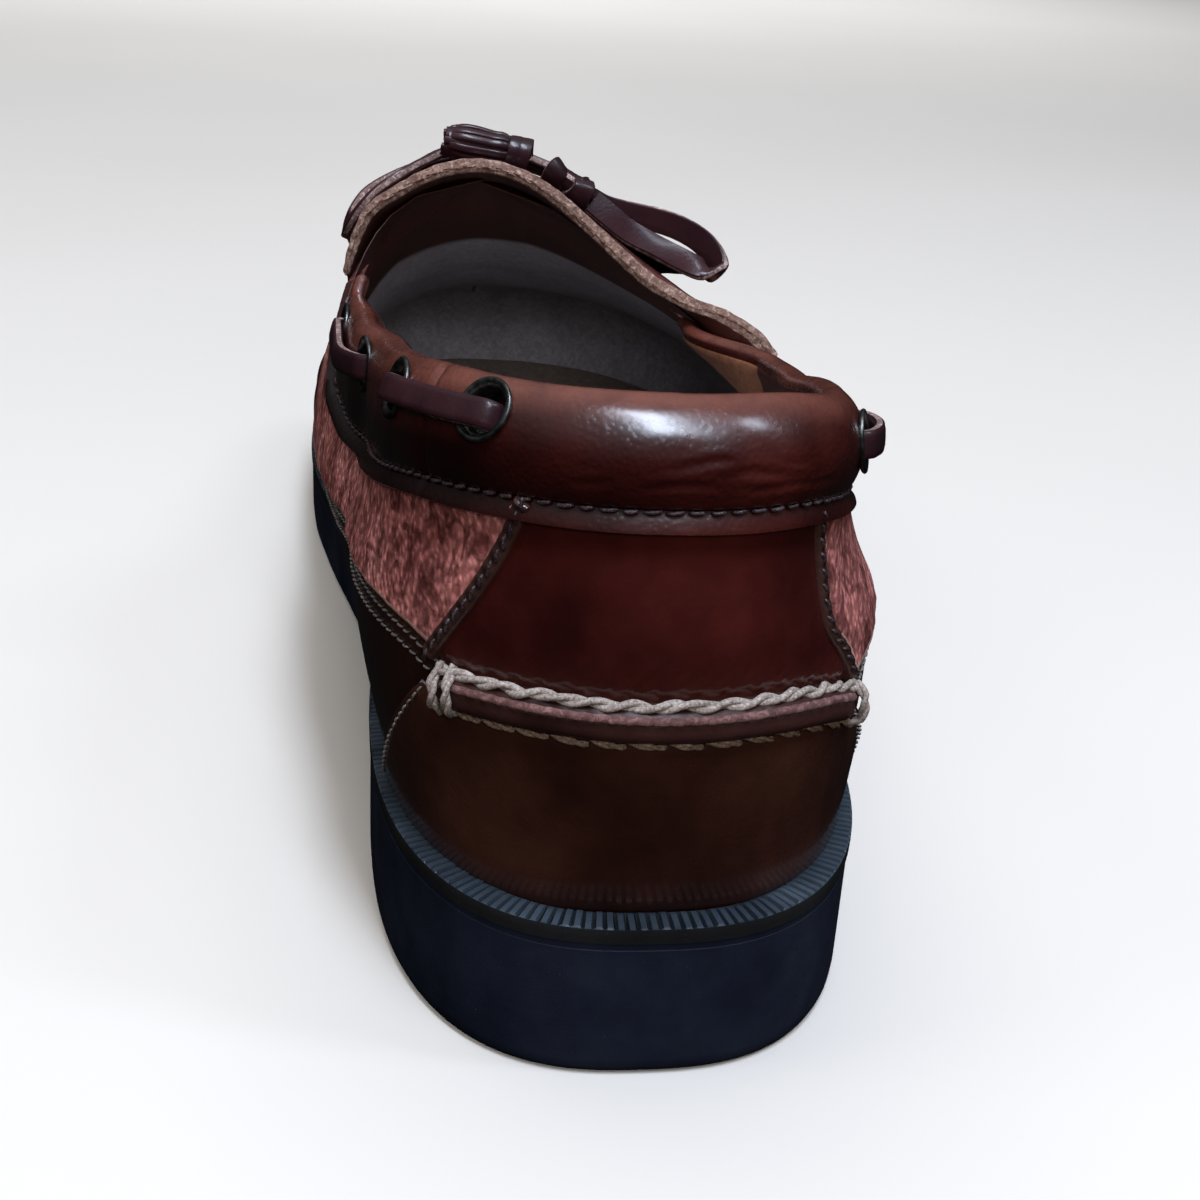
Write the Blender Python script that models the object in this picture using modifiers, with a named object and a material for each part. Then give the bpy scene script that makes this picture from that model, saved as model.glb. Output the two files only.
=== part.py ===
"""A right kiltie tassel loafer, empty, standing on its sole.

Blender 4.5, metres, +Z up. Sizes below are in millimetres in the shoe's own frame and are scaled by MM:
x runs to the outer (little toe) side, y runs forward from the back of the heel, z runs up from the floor.
Contours are the closed lines round the last at rising heights. Every curved piece is cut from them.
"""

import math
from collections import namedtuple

import bmesh
import bpy
import numpy as np
from mathutils import Matrix, Vector

MM = 0.001
GAP = 0.3  # clearance between pieces that touch

# ---------------------------------------------------------------- driving sizes
LENGTH = 300.0  # back of the welt to the tip of the toe
HEEL_PIVOT_Y = 66.0  # the heel's contours fan round this place
TOE_PIVOT_Y = 246.0  # the toe's contours fan round this place
WALL = 2.2  # leather and lining of the upper
WELT_THICK = 2.5
UPPER_FLARE = 1.1  # how far the upper leans over the welt's inner edge
INSOLE_THICK = 3.0

# One row for each cross-section: y, then x and z on the inner side, x and z on the outer side.
Row = namedtuple("Row", "y inner_x inner_z outer_x outer_z")
# How fast the wall swells out above the sole, against a straight line to the belly.
SwellRow = namedtuple("SwellRow", "y share")
FOOT_SWELL = (SwellRow(0.0, 1.5), SwellRow(72.0, 1.5), SwellRow(110.0, 0.0), SwellRow(300.0, 0.0))
# back and front: (y, z) of the contour's two ends. round_back, round_front: superellipse powers in plan.
Contour = namedtuple("Contour", "back front round_back round_front rows")


def flat_rows(table):
    """Rows of a contour whose height follows the sole: y, inner x, outer x."""
    return tuple(Row(y, inner, 0.0, outer, 0.0) for y, inner, outer in table)


WELT = Contour((0.0, 0.0), (LENGTH, 0.0), 2.6, 2.2, flat_rows((
    (66.0, 37.6, 38.8),
    (100.0, 36.6, 39.8),
    (130.0, 37.4, 42.6),
    (160.0, 41.0, 47.8),
    (190.0, 46.2, 52.8),
    (215.0, 49.6, 55.4),
    (232.0, 50.4, 55.9),
    (246.0, 50.2, 55.5),
)))
FEATHER = Contour((5.6, 0.0), (295.8, 0.0), 2.6, 2.2, flat_rows((
    (66.0, 35.0, 36.4),
    (100.0, 33.6, 36.8),
    (130.0, 33.8, 39.2),
    (160.0, 37.2, 44.2),
    (190.0, 42.4, 49.0),
    (215.0, 45.8, 51.6),
    (232.0, 46.6, 52.0),
    (246.0, 46.4, 51.6),
)))
BELLY = Contour((2.0, 54.0), (298.6, 31.0), 2.15, 2.2, (
    Row(66.0, 41.2, 50.0, 40.8, 50.5),
    Row(85.0, 43.2, 48.0, 43.4, 47.5),
    Row(110.0, 45.2, 44.0, 46.6, 43.5),
    Row(140.0, 46.8, 39.0, 49.4, 38.5),
    Row(170.0, 48.4, 34.5, 52.6, 33.5),
    Row(200.0, 49.8, 30.5, 54.8, 29.5),
    Row(228.0, 50.4, 29.0, 55.4, 28.5),
    Row(246.0, 50.0, 29.0, 54.8, 28.5),
))
SHOULDER = Contour((4.6, 76.0), (291.5, 41.0), 2.3, 2.25, (
    Row(66.0, 38.0, 69.0, 33.2, 66.5),
    Row(85.0, 41.0, 69.0, 33.6, 64.5),
    Row(110.0, 43.6, 71.0, 37.4, 64.0),
    Row(140.0, 44.8, 64.0, 41.0, 61.5),
    Row(170.0, 44.4, 54.5, 45.0, 54.0),
    Row(200.0, 43.8, 47.0, 47.6, 47.0),
    Row(228.0, 42.8, 43.0, 46.8, 43.2),
    Row(246.0, 41.6, 41.6, 45.2, 42.0),
))
CROWN = Contour((9.5, 96.0), (280.0, 47.5), 2.6, 2.2, (
    Row(66.0, 34.4, 90.5, 29.3, 84.0),
    Row(85.0, 37.4, 92.5, 27.5, 84.0),
    Row(110.0, 35.0, 96.5, 14.0, 84.5),
    Row(140.0, 34.0, 87.0, 13.0, 81.0),
    Row(170.0, 32.2, 74.0, 16.0, 73.5),
    Row(200.0, 30.6, 63.5, 20.0, 63.5),
    Row(228.0, 28.0, 56.0, 22.0, 56.0),
    Row(246.0, 26.4, 53.0, 22.0, 53.0),
))
CONTOURS = (FEATHER, BELLY, SHOULDER, CROWN)

RidgeRow = namedtuple("RidgeRow", "y x z")
RIDGE = (  # the top line of the last, open behind the tongue
    RidgeRow(66.0, -8.0, 113.0),
    RidgeRow(90.0, -14.0, 110.5),
    RidgeRow(116.0, -18.0, 104.8),
    RidgeRow(140.0, -16.5, 95.2),
    RidgeRow(170.0, -14.0, 81.5),
    RidgeRow(200.0, -11.5, 69.5),
    RidgeRow(228.0, -9.0, 60.5),
    RidgeRow(246.0, -8.0, 56.5),
)

# A line at a given height: z on the inner and on the outer side, by y.
HeightRow = namedtuple("HeightRow", "y inner_z outer_z")
WELT_TOP = (
    HeightRow(0.0, 24.0, 24.0), HeightRow(66.0, 23.8, 23.8), HeightRow(95.0, 22.8, 22.8),
    HeightRow(130.0, 20.0, 20.0), HeightRow(165.0, 17.6, 17.6), HeightRow(200.0, 16.6, 16.6),
    HeightRow(235.0, 17.0, 17.0), HeightRow(270.0, 19.0, 19.0), HeightRow(300.0, 22.0, 22.0),
)
TOP_LINE = (  # upper edge of the collar
    HeightRow(8.0, 98.6, 98.6), HeightRow(22.0, 97.1, 95.2), HeightRow(45.0, 92.6, 90.5),
    HeightRow(66.0, 88.4, 85.5), HeightRow(88.0, 85.5, 82.5), HeightRow(115.0, 84.5, 82.0),
)
COLLAR_SEAM = (  # lower edge of the collar, rising in front of it to the throat
    HeightRow(4.0, 80.0, 80.0), HeightRow(22.0, 77.5, 76.5), HeightRow(45.0, 72.0, 71.0),
    HeightRow(66.0, 67.5, 66.5), HeightRow(86.0, 65.5, 63.5), HeightRow(100.0, 66.0, 63.5),
    HeightRow(112.0, 74.0, 70.0), HeightRow(120.0, 87.0, 81.0), HeightRow(127.0, 99.0, 93.0),
    HeightRow(132.0, 118.0, 118.0),
)

SOLE_BOTTOM = (  # underside of the sole: heel, breast, arch, tread and toe spring
    HeightRow(0.0, 0.0, 0.0), HeightRow(78.0, 0.0, 0.0), HeightRow(80.5, 12.0, 12.0),
    HeightRow(100.0, 10.0, 10.0), HeightRow(130.0, 5.2, 5.2), HeightRow(160.0, 1.0, 1.0),
    HeightRow(178.0, 0.0, 0.0), HeightRow(222.0, 0.0, 0.0), HeightRow(246.0, 1.2, 1.2),
    HeightRow(275.0, 5.0, 5.0), HeightRow(300.0, 10.5, 10.5),
)
SOLE_SET_IN = 0.5  # top of the sole inside the welt's edge
SOLE_TAPER = 0.4  # bottom of the sole inside the welt's edge
TREAD_GROOVE_WIDTH = 2.5
TREAD_GROOVE_DEPTH = 1.6
GrooveRow = namedtuple("GrooveRow", "y inner_x outer_x")
TREAD_GROOVES = (
    GrooveRow(16.0, 20.0, 20.0), GrooveRow(30.0, 25.0, 26.0), GrooveRow(44.0, 27.0, 28.0),
    GrooveRow(58.0, 28.0, 29.0), GrooveRow(176.0, 34.0, 40.0), GrooveRow(188.0, 36.0, 42.0),
    GrooveRow(200.0, 38.0, 44.0), GrooveRow(212.0, 39.0, 45.0), GrooveRow(224.0, 40.0, 45.0),
)

COLLAR_THICK = 5.0
EyeletRow = namedtuple("EyeletRow", "side y below_top")
COLLAR_EYELETS = (  # from the heel forward, and how far each middle lies below the top line
    EyeletRow(-1, 18.0, 5.9), EyeletRow(-1, 38.0, 5.8), EyeletRow(-1, 72.0, 5.5), EyeletRow(-1, 103.0, 5.5),
    EyeletRow(1, 28.0, 8.5), EyeletRow(1, 54.0, 8.5), EyeletRow(1, 74.0, 8.5), EyeletRow(1, 92.0, 8.5),
)
EYELET_HOLE = 2.9  # radii
EYELET_BARREL = 3.5
EYELET_FLANGE = 4.6
EYELET_CHAMFER = 0.6
EYELET_PROUD = 0.9
EYELET_SEAT = 0.6  # the flange bridges the collar's hollow
LACE_WIDTH = 3.6
LACE_THICK = 1.6

TONGUE_THICK = 3.0  # it lies over the upper and over the front ends of the collar
TONGUE_CLEAR = 0.6
TONGUE_FRONT_Y = 160.0
# Across the tongue and kiltie q runs from -1 at the inner edge to 1 at the outer edge.
EdgeRow = namedtuple("EdgeRow", "q y rise")
TONGUE_BACK = (  # the tongue's rear edge, and how far it is bent up off the foot
    EdgeRow(-1.0, 117.0, 1.8), EdgeRow(-0.75, 119.0, 1.8), EdgeRow(-0.5, 121.0, 0.5),
    EdgeRow(0.0, 122.5, 0.0), EdgeRow(0.2, 121.8, -0.3), EdgeRow(0.4, 120.0, -1.0),
    EdgeRow(0.6, 115.3, -1.4), EdgeRow(0.75, 109.5, 0.3), EdgeRow(0.82, 103.0, 2.6),
    EdgeRow(0.9, 99.0, 3.2), EdgeRow(1.0, 98.0, 3.0),
)
TONGUE_BEND = 12.0  # the rear edge's bend has died out this far in front of it
TONGUE_EDGE_T = 0.63

KILTIE_THICK = 2.0
KILTIE_CLEAR = 0.6
KILTIE_BACK_Y = 136.0
KILTIE_SLIT_Y = 168.0
KILTIE_FRONT_Y = 206.0
KILTIE_ROUND = 9.0  # how much shorter the outer fringes are
KILTIE_EDGE_T = 0.70
KILTIE_DROP_Y = (161.0, 177.0)  # where it comes down off the tongue's front edge
FRINGE_STRIPS = 11
FRINGE_GAP_SHARE = 0.12  # slot as a share of a strip's pitch

RIDGE_WIDTH = 6.0  # the raised handsewn seams
RIDGE_HEIGHT = 2.4
RIDGE_CLEAR = 0.45  # under a seam, whose underside is flat
HEEL_RIDGE_HALF_ANGLE = 0.54
HEEL_RIDGE = (  # middle of the heel's raised seam, by y
    HeightRow(2.0, 54.5, 54.5), HeightRow(10.0, 53.8, 53.0), HeightRow(22.0, 52.0, 49.0),
)
APRON_START_Y = 170.0
APRON_SIDE_T = 0.60  # the apron's seam on the wall, along the sides and at the tip of the toe
APRON_TIP_T = 0.80
APRON_STEP = 8

LACE_CORD = 3.2  # diameter of the bow's lace
# The bow's loops by y, by q across the tongue and by height above the foot under the tongue.
BowRow = namedtuple("BowRow", "y q height")
BOW_OUTER_LOOP = (
    BowRow(131.4, 0.42, 7.4), BowRow(131.0, 0.50, 9.7), BowRow(131.0, 0.58, 12.2),
    BowRow(131.0, 0.68, 13.9), BowRow(130.6, 0.776, 14.1), BowRow(130.0, 0.85, 12.6),
    BowRow(128.5, 0.885, 10.4), BowRow(127.0, 0.85, 8.6), BowRow(126.8, 0.76, 7.5),
    BowRow(126.8, 0.634, 6.5), BowRow(127.0, 0.52, 5.8), BowRow(127.2, 0.44, 5.7),
)
BOW_INNER_LOOP = (
    BowRow(136.2, 0.24, 8.6), BowRow(137.0, 0.10, 8.6), BowRow(137.0, -0.05, 8.6),
    BowRow(135.6, -0.20, 8.5), BowRow(132.5, -0.33, 7.0), BowRow(128.5, -0.44, 5.8),
    BowRow(127.0, -0.58, 5.8), BowRow(127.0, -0.69, 5.8), BowRow(128.6, -0.77, 5.9),
    BowRow(131.6, -0.78, 6.1), BowRow(134.8, -0.72, 7.6), BowRow(138.5, -0.60, 8.7),
    BowRow(142.0, -0.40, 8.7), BowRow(142.5, -0.15, 8.7), BowRow(141.4, 0.08, 8.7),
    BowRow(140.2, 0.24, 8.7),
)
KNOT_PLACE = BowRow(129.5, 0.285, 6.8)
KNOT_RADIUS = 4.6
KNOT_HALF_HEIGHT = 2.6
TasselRow = namedtuple("TasselRow", "radius along")
TASSEL = (  # bound head, then a skirt that opens towards its cut end
    TasselRow(0.0, 0.0), TasselRow(1.9, 0.0), TasselRow(2.7, 0.9), TasselRow(2.8, 4.6), TasselRow(2.3, 5.5),
    TasselRow(3.0, 7.2), TasselRow(3.6, 12.0), TasselRow(3.7, 16.0), TasselRow(0.0, 16.0),
)
TASSEL_SEGMENTS = 12
INNER_TASSEL_HEAD = BowRow(129.0, 0.149, 7.3)
INNER_TASSEL_TIP = BowRow(129.0, -0.128, 7.9)
OUTER_TASSEL_HEAD = BowRow(147.0, 0.25, 9.5)
OUTER_TASSEL_TIP = BowRow(163.0, 0.31, 10.5)

FAN_STEPS = 10
TANGENT_STEP = 0.02  # in t, for the wall's slopes
AXIS_HEIGHT = 30.0  # the wall faces away from an axis at this height
SIDE_STEP = 50.0  # as far along a side as a radian of a fan
SIDE_YS = (66, 72, 78, 80.5) + tuple(range(86, 246, 10)) + (246,)


# ---------------------------------------------------------------- the last as a surface
def through(rows, y, column, level_ends=True):
    """A smooth curve through one column of a table, with no overshoot, constant beyond its ends."""
    ys = np.array([row.y for row in rows])
    vs = np.array([getattr(row, column) for row in rows])
    steps = np.diff(ys)
    slopes = np.diff(vs) / steps
    tangents = np.zeros(len(vs))
    if not level_ends:
        tangents[0], tangents[-1] = slopes[0], slopes[-1]
    for i in range(1, len(vs) - 1):
        if slopes[i - 1] * slopes[i] > 0:
            tangents[i] = 2.0 / (1.0 / slopes[i - 1] + 1.0 / slopes[i])
    y = min(max(y, ys[0]), ys[-1])
    i = min(int(np.searchsorted(ys, y, side="right")) - 1, len(steps) - 1)
    s = (y - ys[i]) / steps[i]
    return float(
        vs[i] * (1 + 2 * s) * (1 - s) ** 2
        + vs[i + 1] * s * s * (3 - 2 * s)
        + steps[i] * (tangents[i] * s * (1 - s) ** 2 - tangents[i + 1] * s * s * (1 - s))
    )


# A station is a place round the shoe: its zone, and an angle in the fans or a y along the sides.
Station = namedtuple("Station", "zone side value")


def sole_top(y):
    """Height of the outsole's upper face, which the upper stands on."""
    return through(WELT_TOP, y, "inner_z") - WELT_THICK - 2 * GAP


def contour_point(contour, station):
    """(x, y, z) where a contour passes a station."""
    side_name = "inner" if station.side < 0 else "outer"
    if station.zone == "side":
        x = station.side * through(contour.rows, station.value, side_name + "_x")
        y = station.value
        z = through(contour.rows, y, side_name + "_z")
    else:
        at_heel = station.zone == "heel"
        pivot_y = HEEL_PIVOT_Y if at_heel else TOE_PIVOT_Y
        pivot_x = 0.0 if at_heel else through(RIDGE, TOE_PIVOT_Y, "x")
        end_y, end_z = contour.back if at_heel else contour.front
        power = contour.round_back if at_heel else contour.round_front
        across = abs(station.side * through(contour.rows, pivot_y, side_name + "_x") - pivot_x)
        along = abs(end_y - pivot_y)
        sine, cosine = math.sin(station.value), math.cos(station.value)
        radius = ((abs(sine) / across) ** power + (abs(cosine) / along) ** power) ** (-1 / power)
        x = pivot_x + station.side * radius * sine
        y = pivot_y + radius * cosine * (-1 if at_heel else 1)
        side_z = through(contour.rows, pivot_y, side_name + "_z")
        z = end_z * cosine**2 + side_z * sine**2
    if contour is FEATHER:
        z = sole_top(y) + GAP
    return np.array([x, y, z])


def ridge_point(station):
    y = station.value if station.zone == "side" else (HEEL_PIVOT_Y if station.zone == "heel" else TOE_PIVOT_Y)
    return np.array([through(RIDGE, y, "x", False), y, through(RIDGE, y, "z", False)])


def profile(station):
    """Points of the wall at a station, from the sole to the ridge, with a guide point beyond each end.

    The guides make the wall swell out at the sole and follow the ridge's own slope at the top.
    """
    wall = [contour_point(contour, station) for contour in CONTOURS]
    top = ridge_point(station)
    swell = through(FOOT_SWELL, wall[0][1], "share")
    below = wall[1] - 2 * swell * (wall[1] - wall[0])
    below[2] = 2 * wall[0][2] - wall[1][2]
    reach = 1.0
    ahead, behind = (through(RIDGE, top[1] + step, "z", False) for step in (reach, -reach))
    slope = (ahead - behind) / (2 * reach)
    if station.zone != "side":
        slope = 2 * slope  # one of the two samples lies beyond the table's end
    past = 2 * top - wall[-1]
    past[2] = wall[-1][2] - 2 * slope * (wall[-1][1] - top[1])
    return np.array([below, *wall, top, past])


def on_profile(points, t):
    """The wall at t, from 0 at the sole to 1 on the ridge, by a Catmull-Rom curve."""
    spans = len(points) - 3
    i = min(int(t * spans), spans - 1)
    s = t * spans - i
    before, a, b, after = points[i:i + 4]
    return 0.5 * (
        2 * a + (b - before) * s + (2 * before - 5 * a + 4 * b - after) * s * s
        + (3 * a - before - 3 * b + after) * s**3
    )


def height_on(station, heights):
    """t where the wall crosses a line whose height is tabled by y."""
    points = profile(station)
    column = "inner_z" if station.side < 0 else "outer_z"
    low, high = 0.1, 1.0
    for _ in range(30):
        t = (low + high) / 2
        x, y, z = on_profile(points, t)
        if z < through(heights, y, column):
            low = t
        else:
            high = t
    return (low + high) / 2


def unit(vector):
    return vector / np.linalg.norm(vector)


def beside(station, step):
    """A station a little further along: in radians in the fans, in steps of SIDE_STEP along the sides."""
    value = station.value + step * (SIDE_STEP if station.zone == "side" else 1.0)
    return Station(station.zone, station.side, value)


def wall_frame(station, t):
    """A point of the wall, its outward normal and its upward tangent."""
    here = on_profile(profile(station), t)
    if station.zone == "toe" and t > 0.98:
        station = Station("side", station.side, TOE_PIVOT_Y)
    if station.zone == "heel" and t > 0.98:
        station = Station("side", station.side, HEEL_PIVOT_Y)
    step = TANGENT_STEP
    low, high = max(t - step, 0.0), min(t + step, 1.0)
    middle = profile(station)
    upward = unit(on_profile(middle, high) - on_profile(middle, low))
    ahead = on_profile(profile(beside(station, step)), t)
    behind = on_profile(profile(beside(station, -step)), t)
    normal = unit(np.cross(ahead - behind, upward))
    axis_y = min(max(here[1], HEEL_PIVOT_Y), TOE_PIVOT_Y)
    axis = np.array([through(RIDGE, axis_y, "x") * 0.5, axis_y, AXIS_HEIGHT])
    if np.dot(normal, here - axis) < 0:
        normal = -normal
    return here, normal, upward


def side_station(side, y, contour_index=2):
    """The station on one side whose shoulder lies at this y."""
    if HEEL_PIVOT_Y <= y <= TOE_PIVOT_Y:
        return Station("side", side, y)
    zone = "heel" if y < HEEL_PIVOT_Y else "toe"
    low, high = 0.0, math.pi / 2
    for _ in range(30):
        angle = (low + high) / 2
        point = contour_point(CONTOURS[contour_index], Station(zone, side, angle))
        nearer_end = point[1] < y if zone == "heel" else point[1] > y
        if nearer_end:
            low = angle
        else:
            high = angle
    return Station(zone, side, (low + high) / 2)


def half_round(side, side_ys=SIDE_YS, fan_steps=FAN_STEPS):
    """Stations of one side, from the middle of the heel to the middle of the toe."""
    quarter = math.pi / 2
    heel = [Station("heel", side, quarter * i / fan_steps) for i in range(fan_steps)]
    toe = [Station("toe", side, quarter * i / fan_steps) for i in range(fan_steps)]
    return heel + [Station("side", side, float(y)) for y in side_ys] + toe[::-1]


def whole_round(side_ys=SIDE_YS, fan_steps=FAN_STEPS):
    """Stations all round: up the outer side from the heel, back down the inner side."""
    outer = half_round(1, side_ys, fan_steps)
    inner = half_round(-1, side_ys, fan_steps)
    return outer + inner[-2:0:-1]


# ---------------------------------------------------------------- building helpers
def material(name, colour, roughness, metallic=0.0):
    made = bpy.data.materials.new(name)
    made.use_nodes = True
    made.diffuse_color = (*colour, 1.0)
    shader = made.node_tree.nodes["Principled BSDF"]
    shader.inputs["Base Color"].default_value = (*colour, 1.0)
    shader.inputs["Roughness"].default_value = roughness
    shader.inputs["Metallic"].default_value = metallic
    return made


def mesh_object(name, points, faces, look, collection):
    """An object from points in millimetres, its origin at the middle of the footprint."""
    mesh = bpy.data.meshes.new(name)
    mesh.from_pydata([tuple(float(v) * MM for v in p) for p in points], [], faces)
    made = bpy.data.objects.new(name, mesh)
    made.location = SHOE_SHIFT
    collection.objects.link(made)
    if look is not None:
        mesh.materials.append(look)
    work = bmesh.new()
    work.from_mesh(mesh)
    bmesh.ops.remove_doubles(work, verts=work.verts, dist=MERGE)
    work.to_mesh(mesh)
    work.free()
    return made


def face_outward(made):
    work = bmesh.new()
    work.from_mesh(made.data)
    bmesh.ops.recalc_face_normals(work, faces=work.faces)
    work.to_mesh(made.data)
    work.free()


def thicken(made, thickness):
    solid = made.modifiers.new("wall", "SOLIDIFY")
    solid.thickness = thickness * MM
    solid.offset = -1.0
    solid.use_even_offset = True
    return solid


def cut_with(made, cutter):
    cut = made.modifiers.new("cut", "BOOLEAN")
    cut.operation = "DIFFERENCE"
    cut.solver = "EXACT"
    cut.object = cutter
    cutter.hide_render = True
    cutter.display_type = "WIRE"
    return cut


def outline(contour, inset=0.0):
    """Plan of a contour set in by a distance, all round, as x and y."""
    line = np.array([contour_point(contour, station)[:2] for station in whole_round()])
    along = np.roll(line, -1, axis=0) - np.roll(line, 1, axis=0)
    along /= np.linalg.norm(along, axis=1)[:, None]
    inward = np.stack([-along[:, 1], along[:, 0]], axis=1)
    return line + inset * inward


def at_heights(plan, height):
    return [np.array([x, y, height(y)]) for x, y in plan]


def rungs(first, count):
    """Faces across a closed loop, pairing its outer side with its inner side."""
    half = count // 2
    faces = [(first, first + 1, first + count - 1)]
    for i in range(1, half - 1):
        faces.append((first + i, first + i + 1, first + count - i - 1, first + count - i))
    faces.append((first + half - 1, first + half, first + half + 1))
    return faces


def loop_walls(count, levels, closed=False):
    """Faces between stacked loops of equal size."""
    faces = []
    for level in range(levels if closed else levels - 1):
        low = level * count
        high = ((level + 1) % levels) * count
        for i in range(count):
            j = (i + 1) % count
            faces.append((low + i, low + j, high + j, high + i))
    return faces


def plate(name, loops, look, collection):
    """A closed plate from loops stacked upward."""
    count = len(loops[0])
    points = [p for loop in loops for p in loop]
    faces = loop_walls(count, len(loops))
    faces += [face[::-1] for face in rungs(0, count)]
    faces += rungs((len(loops) - 1) * count, count)
    made = mesh_object(name, points, faces, look, collection)
    face_outward(made)
    return made


def lofted(name, sections, look, collection, closed_path=False):
    """A closed solid through sections with equal numbers of points, capped at both ends."""
    count = len(sections[0])
    points = [p for section in sections for p in section]
    faces = loop_walls(count, len(sections), closed_path)
    if not closed_path:
        last = (len(sections) - 1) * count
        faces.append(tuple(range(count))[::-1])
        faces.append(tuple(range(last, last + count)))
    made = mesh_object(name, points, faces, look, collection)
    face_outward(made)
    return made


def turned(name, profile_rows, segments, look, collection, closed):
    """A solid of revolution about its own z axis, from rows of radius and height."""
    count = len(profile_rows)
    edges = [(i, (i + 1) % count) for i in range(count if closed else count - 1)]
    mesh = bpy.data.meshes.new(name)
    mesh.from_pydata([(float(r) * MM, 0.0, float(z) * MM) for r, z in profile_rows], edges, [])
    made = bpy.data.objects.new(name, mesh)
    made.location = SHOE_SHIFT
    collection.objects.link(made)
    if look is not None:
        mesh.materials.append(look)
    spin = made.modifiers.new("turn", "SCREW")
    spin.axis = "Z"
    spin.angle = 2.0 * math.pi
    spin.steps = segments
    spin.render_steps = segments
    spin.use_merge_vertices = True
    spin.merge_threshold = MERGE
    spin.use_normal_calculate = True
    spin.use_normal_flip = True
    return made


def aim(made, point, direction):
    """Place an object so that its own z axis points along a direction."""
    made.location = SHOE_SHIFT + Vector([float(v) * MM for v in point])
    made.rotation_mode = "QUATERNION"
    made.rotation_quaternion = Vector([float(v) for v in direction]).to_track_quat("Z", "Y")


SHOE_SHIFT = Vector((-2.75 * MM, -LENGTH / 2 * MM, 0.0))
MERGE = 0.00001

for old in list(bpy.data.objects):
    bpy.data.objects.remove(old, do_unlink=True)
shoe = bpy.data.collections.new("kiltie_tassel_loafer")
bpy.context.scene.collection.children.link(shoe)
cutters = bpy.data.collections.new("cutters")
bpy.context.scene.collection.children.link(cutters)

OXBLOOD = material("oxblood_leather", (0.085, 0.022, 0.018), 0.35)
COLLAR_LEATHER = material("collar_leather", (0.095, 0.025, 0.022), 0.32)
TONGUE_LEATHER = material("tongue_leather", (0.10, 0.045, 0.030), 0.75)
LACE_LEATHER = material("lace_leather", (0.055, 0.020, 0.024), 0.55)
KILTIE_LEATHER = material("kiltie_leather", (0.075, 0.024, 0.022), 0.40)
SOLE_RUBBER = material("sole_rubber", (0.020, 0.024, 0.036), 0.70)
WELT_RUBBER = material("welt_rubber", (0.030, 0.036, 0.048), 0.60)
INSOLE_LEATHER = material("insole_leather", (0.12, 0.075, 0.050), 0.70)
EYELET_BRASS = material("eyelet_brass", (0.16, 0.13, 0.09), 0.40, 0.9)


# ---------------------------------------------------------------- sole, welt and insole
def welt_top(y):
    return through(WELT_TOP, y, "inner_z")


def sole_bottom(y):
    return through(SOLE_BOTTOM, y, "inner_z")


outsole = plate("outsole", [
    at_heights(outline(WELT, SOLE_TAPER), sole_bottom),
    at_heights(outline(WELT, SOLE_SET_IN), sole_top),
], SOLE_RUBBER, shoe)

TREAD_CUTTER_BELOW = 3.0  # how far the groove cutters reach below the tread
groove_mesh = bpy.data.meshes.new("tread_grooves")
boxes = bmesh.new()
for row in TREAD_GROOVES:
    floor = sole_bottom(row.y)
    middle_z = floor + (TREAD_GROOVE_DEPTH - TREAD_CUTTER_BELOW) / 2
    middle = Vector(((row.outer_x - row.inner_x) / 2, row.y, middle_z))
    size = (row.inner_x + row.outer_x, TREAD_GROOVE_WIDTH, TREAD_GROOVE_DEPTH + TREAD_CUTTER_BELOW)
    place = Matrix.Translation(middle * MM) @ Matrix.Diagonal((*[v * MM for v in size], 1.0))
    bmesh.ops.create_cube(boxes, size=1.0, matrix=place)
boxes.to_mesh(groove_mesh)
boxes.free()
grooves = bpy.data.objects.new("tread_grooves", groove_mesh)
grooves.location = SHOE_SHIFT
cutters.objects.link(grooves)
cut_with(outsole, grooves)

welt = lofted("welt", [
    at_heights(outline(WELT), lambda y: sole_top(y) + GAP),
    at_heights(outline(WELT), welt_top),
    at_heights(outline(FEATHER, -GAP - UPPER_FLARE), welt_top),
    at_heights(outline(FEATHER, -GAP), lambda y: sole_top(y) + GAP),
], WELT_RUBBER, shoe, closed_path=True)

insole = plate("insole", [
    at_heights(outline(FEATHER, WALL + 0.2 + GAP), lambda y: sole_top(y) + GAP),
    at_heights(outline(FEATHER, WALL + 0.2 + GAP), lambda y: sole_top(y) + GAP + INSOLE_THICK),
], INSOLE_LEATHER, shoe)


# ---------------------------------------------------------------- upper
UPPER_ROWS = 10
UPPER_LEVEL_ROWS = 4  # rows at fixed heights, under every part of the top edge
UPPER_LEVEL_T = 0.42
THROAT_YS = tuple(np.arange(102.0, 132.1, 2.5))  # close together where the top edge climbs
UPPER_YS = (66, 73, 80, 87, 93, 98) + THROAT_YS + SIDE_YS[SIDE_YS.index(136):]


def upper_top(station):
    """t of the upper's top edge: the collar seam, the throat, then the ridge."""
    if station.zone == "toe" or (station.zone == "side" and station.value >= COLLAR_SEAM[-1].y):
        return 1.0
    return height_on(station, COLLAR_SEAM)


columns = whole_round(UPPER_YS)
upper_points, upper_faces = [], []
for station in columns:
    points = profile(station)
    top = upper_top(station)
    ts = list(np.linspace(0.0, UPPER_LEVEL_T, UPPER_LEVEL_ROWS, endpoint=False))
    ts += list(np.linspace(UPPER_LEVEL_T, top, UPPER_ROWS - UPPER_LEVEL_ROWS))
    upper_points += [on_profile(points, t) for t in ts]
for i in range(len(columns)):
    j = (i + 1) % len(columns)
    for row in range(UPPER_ROWS - 1):
        a, b = i * UPPER_ROWS + row, j * UPPER_ROWS + row
        upper_faces.append((a, b, b + 1, a + 1))
upper = mesh_object("upper", upper_points, upper_faces, OXBLOOD, shoe)
thicken(upper, WALL)


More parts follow.
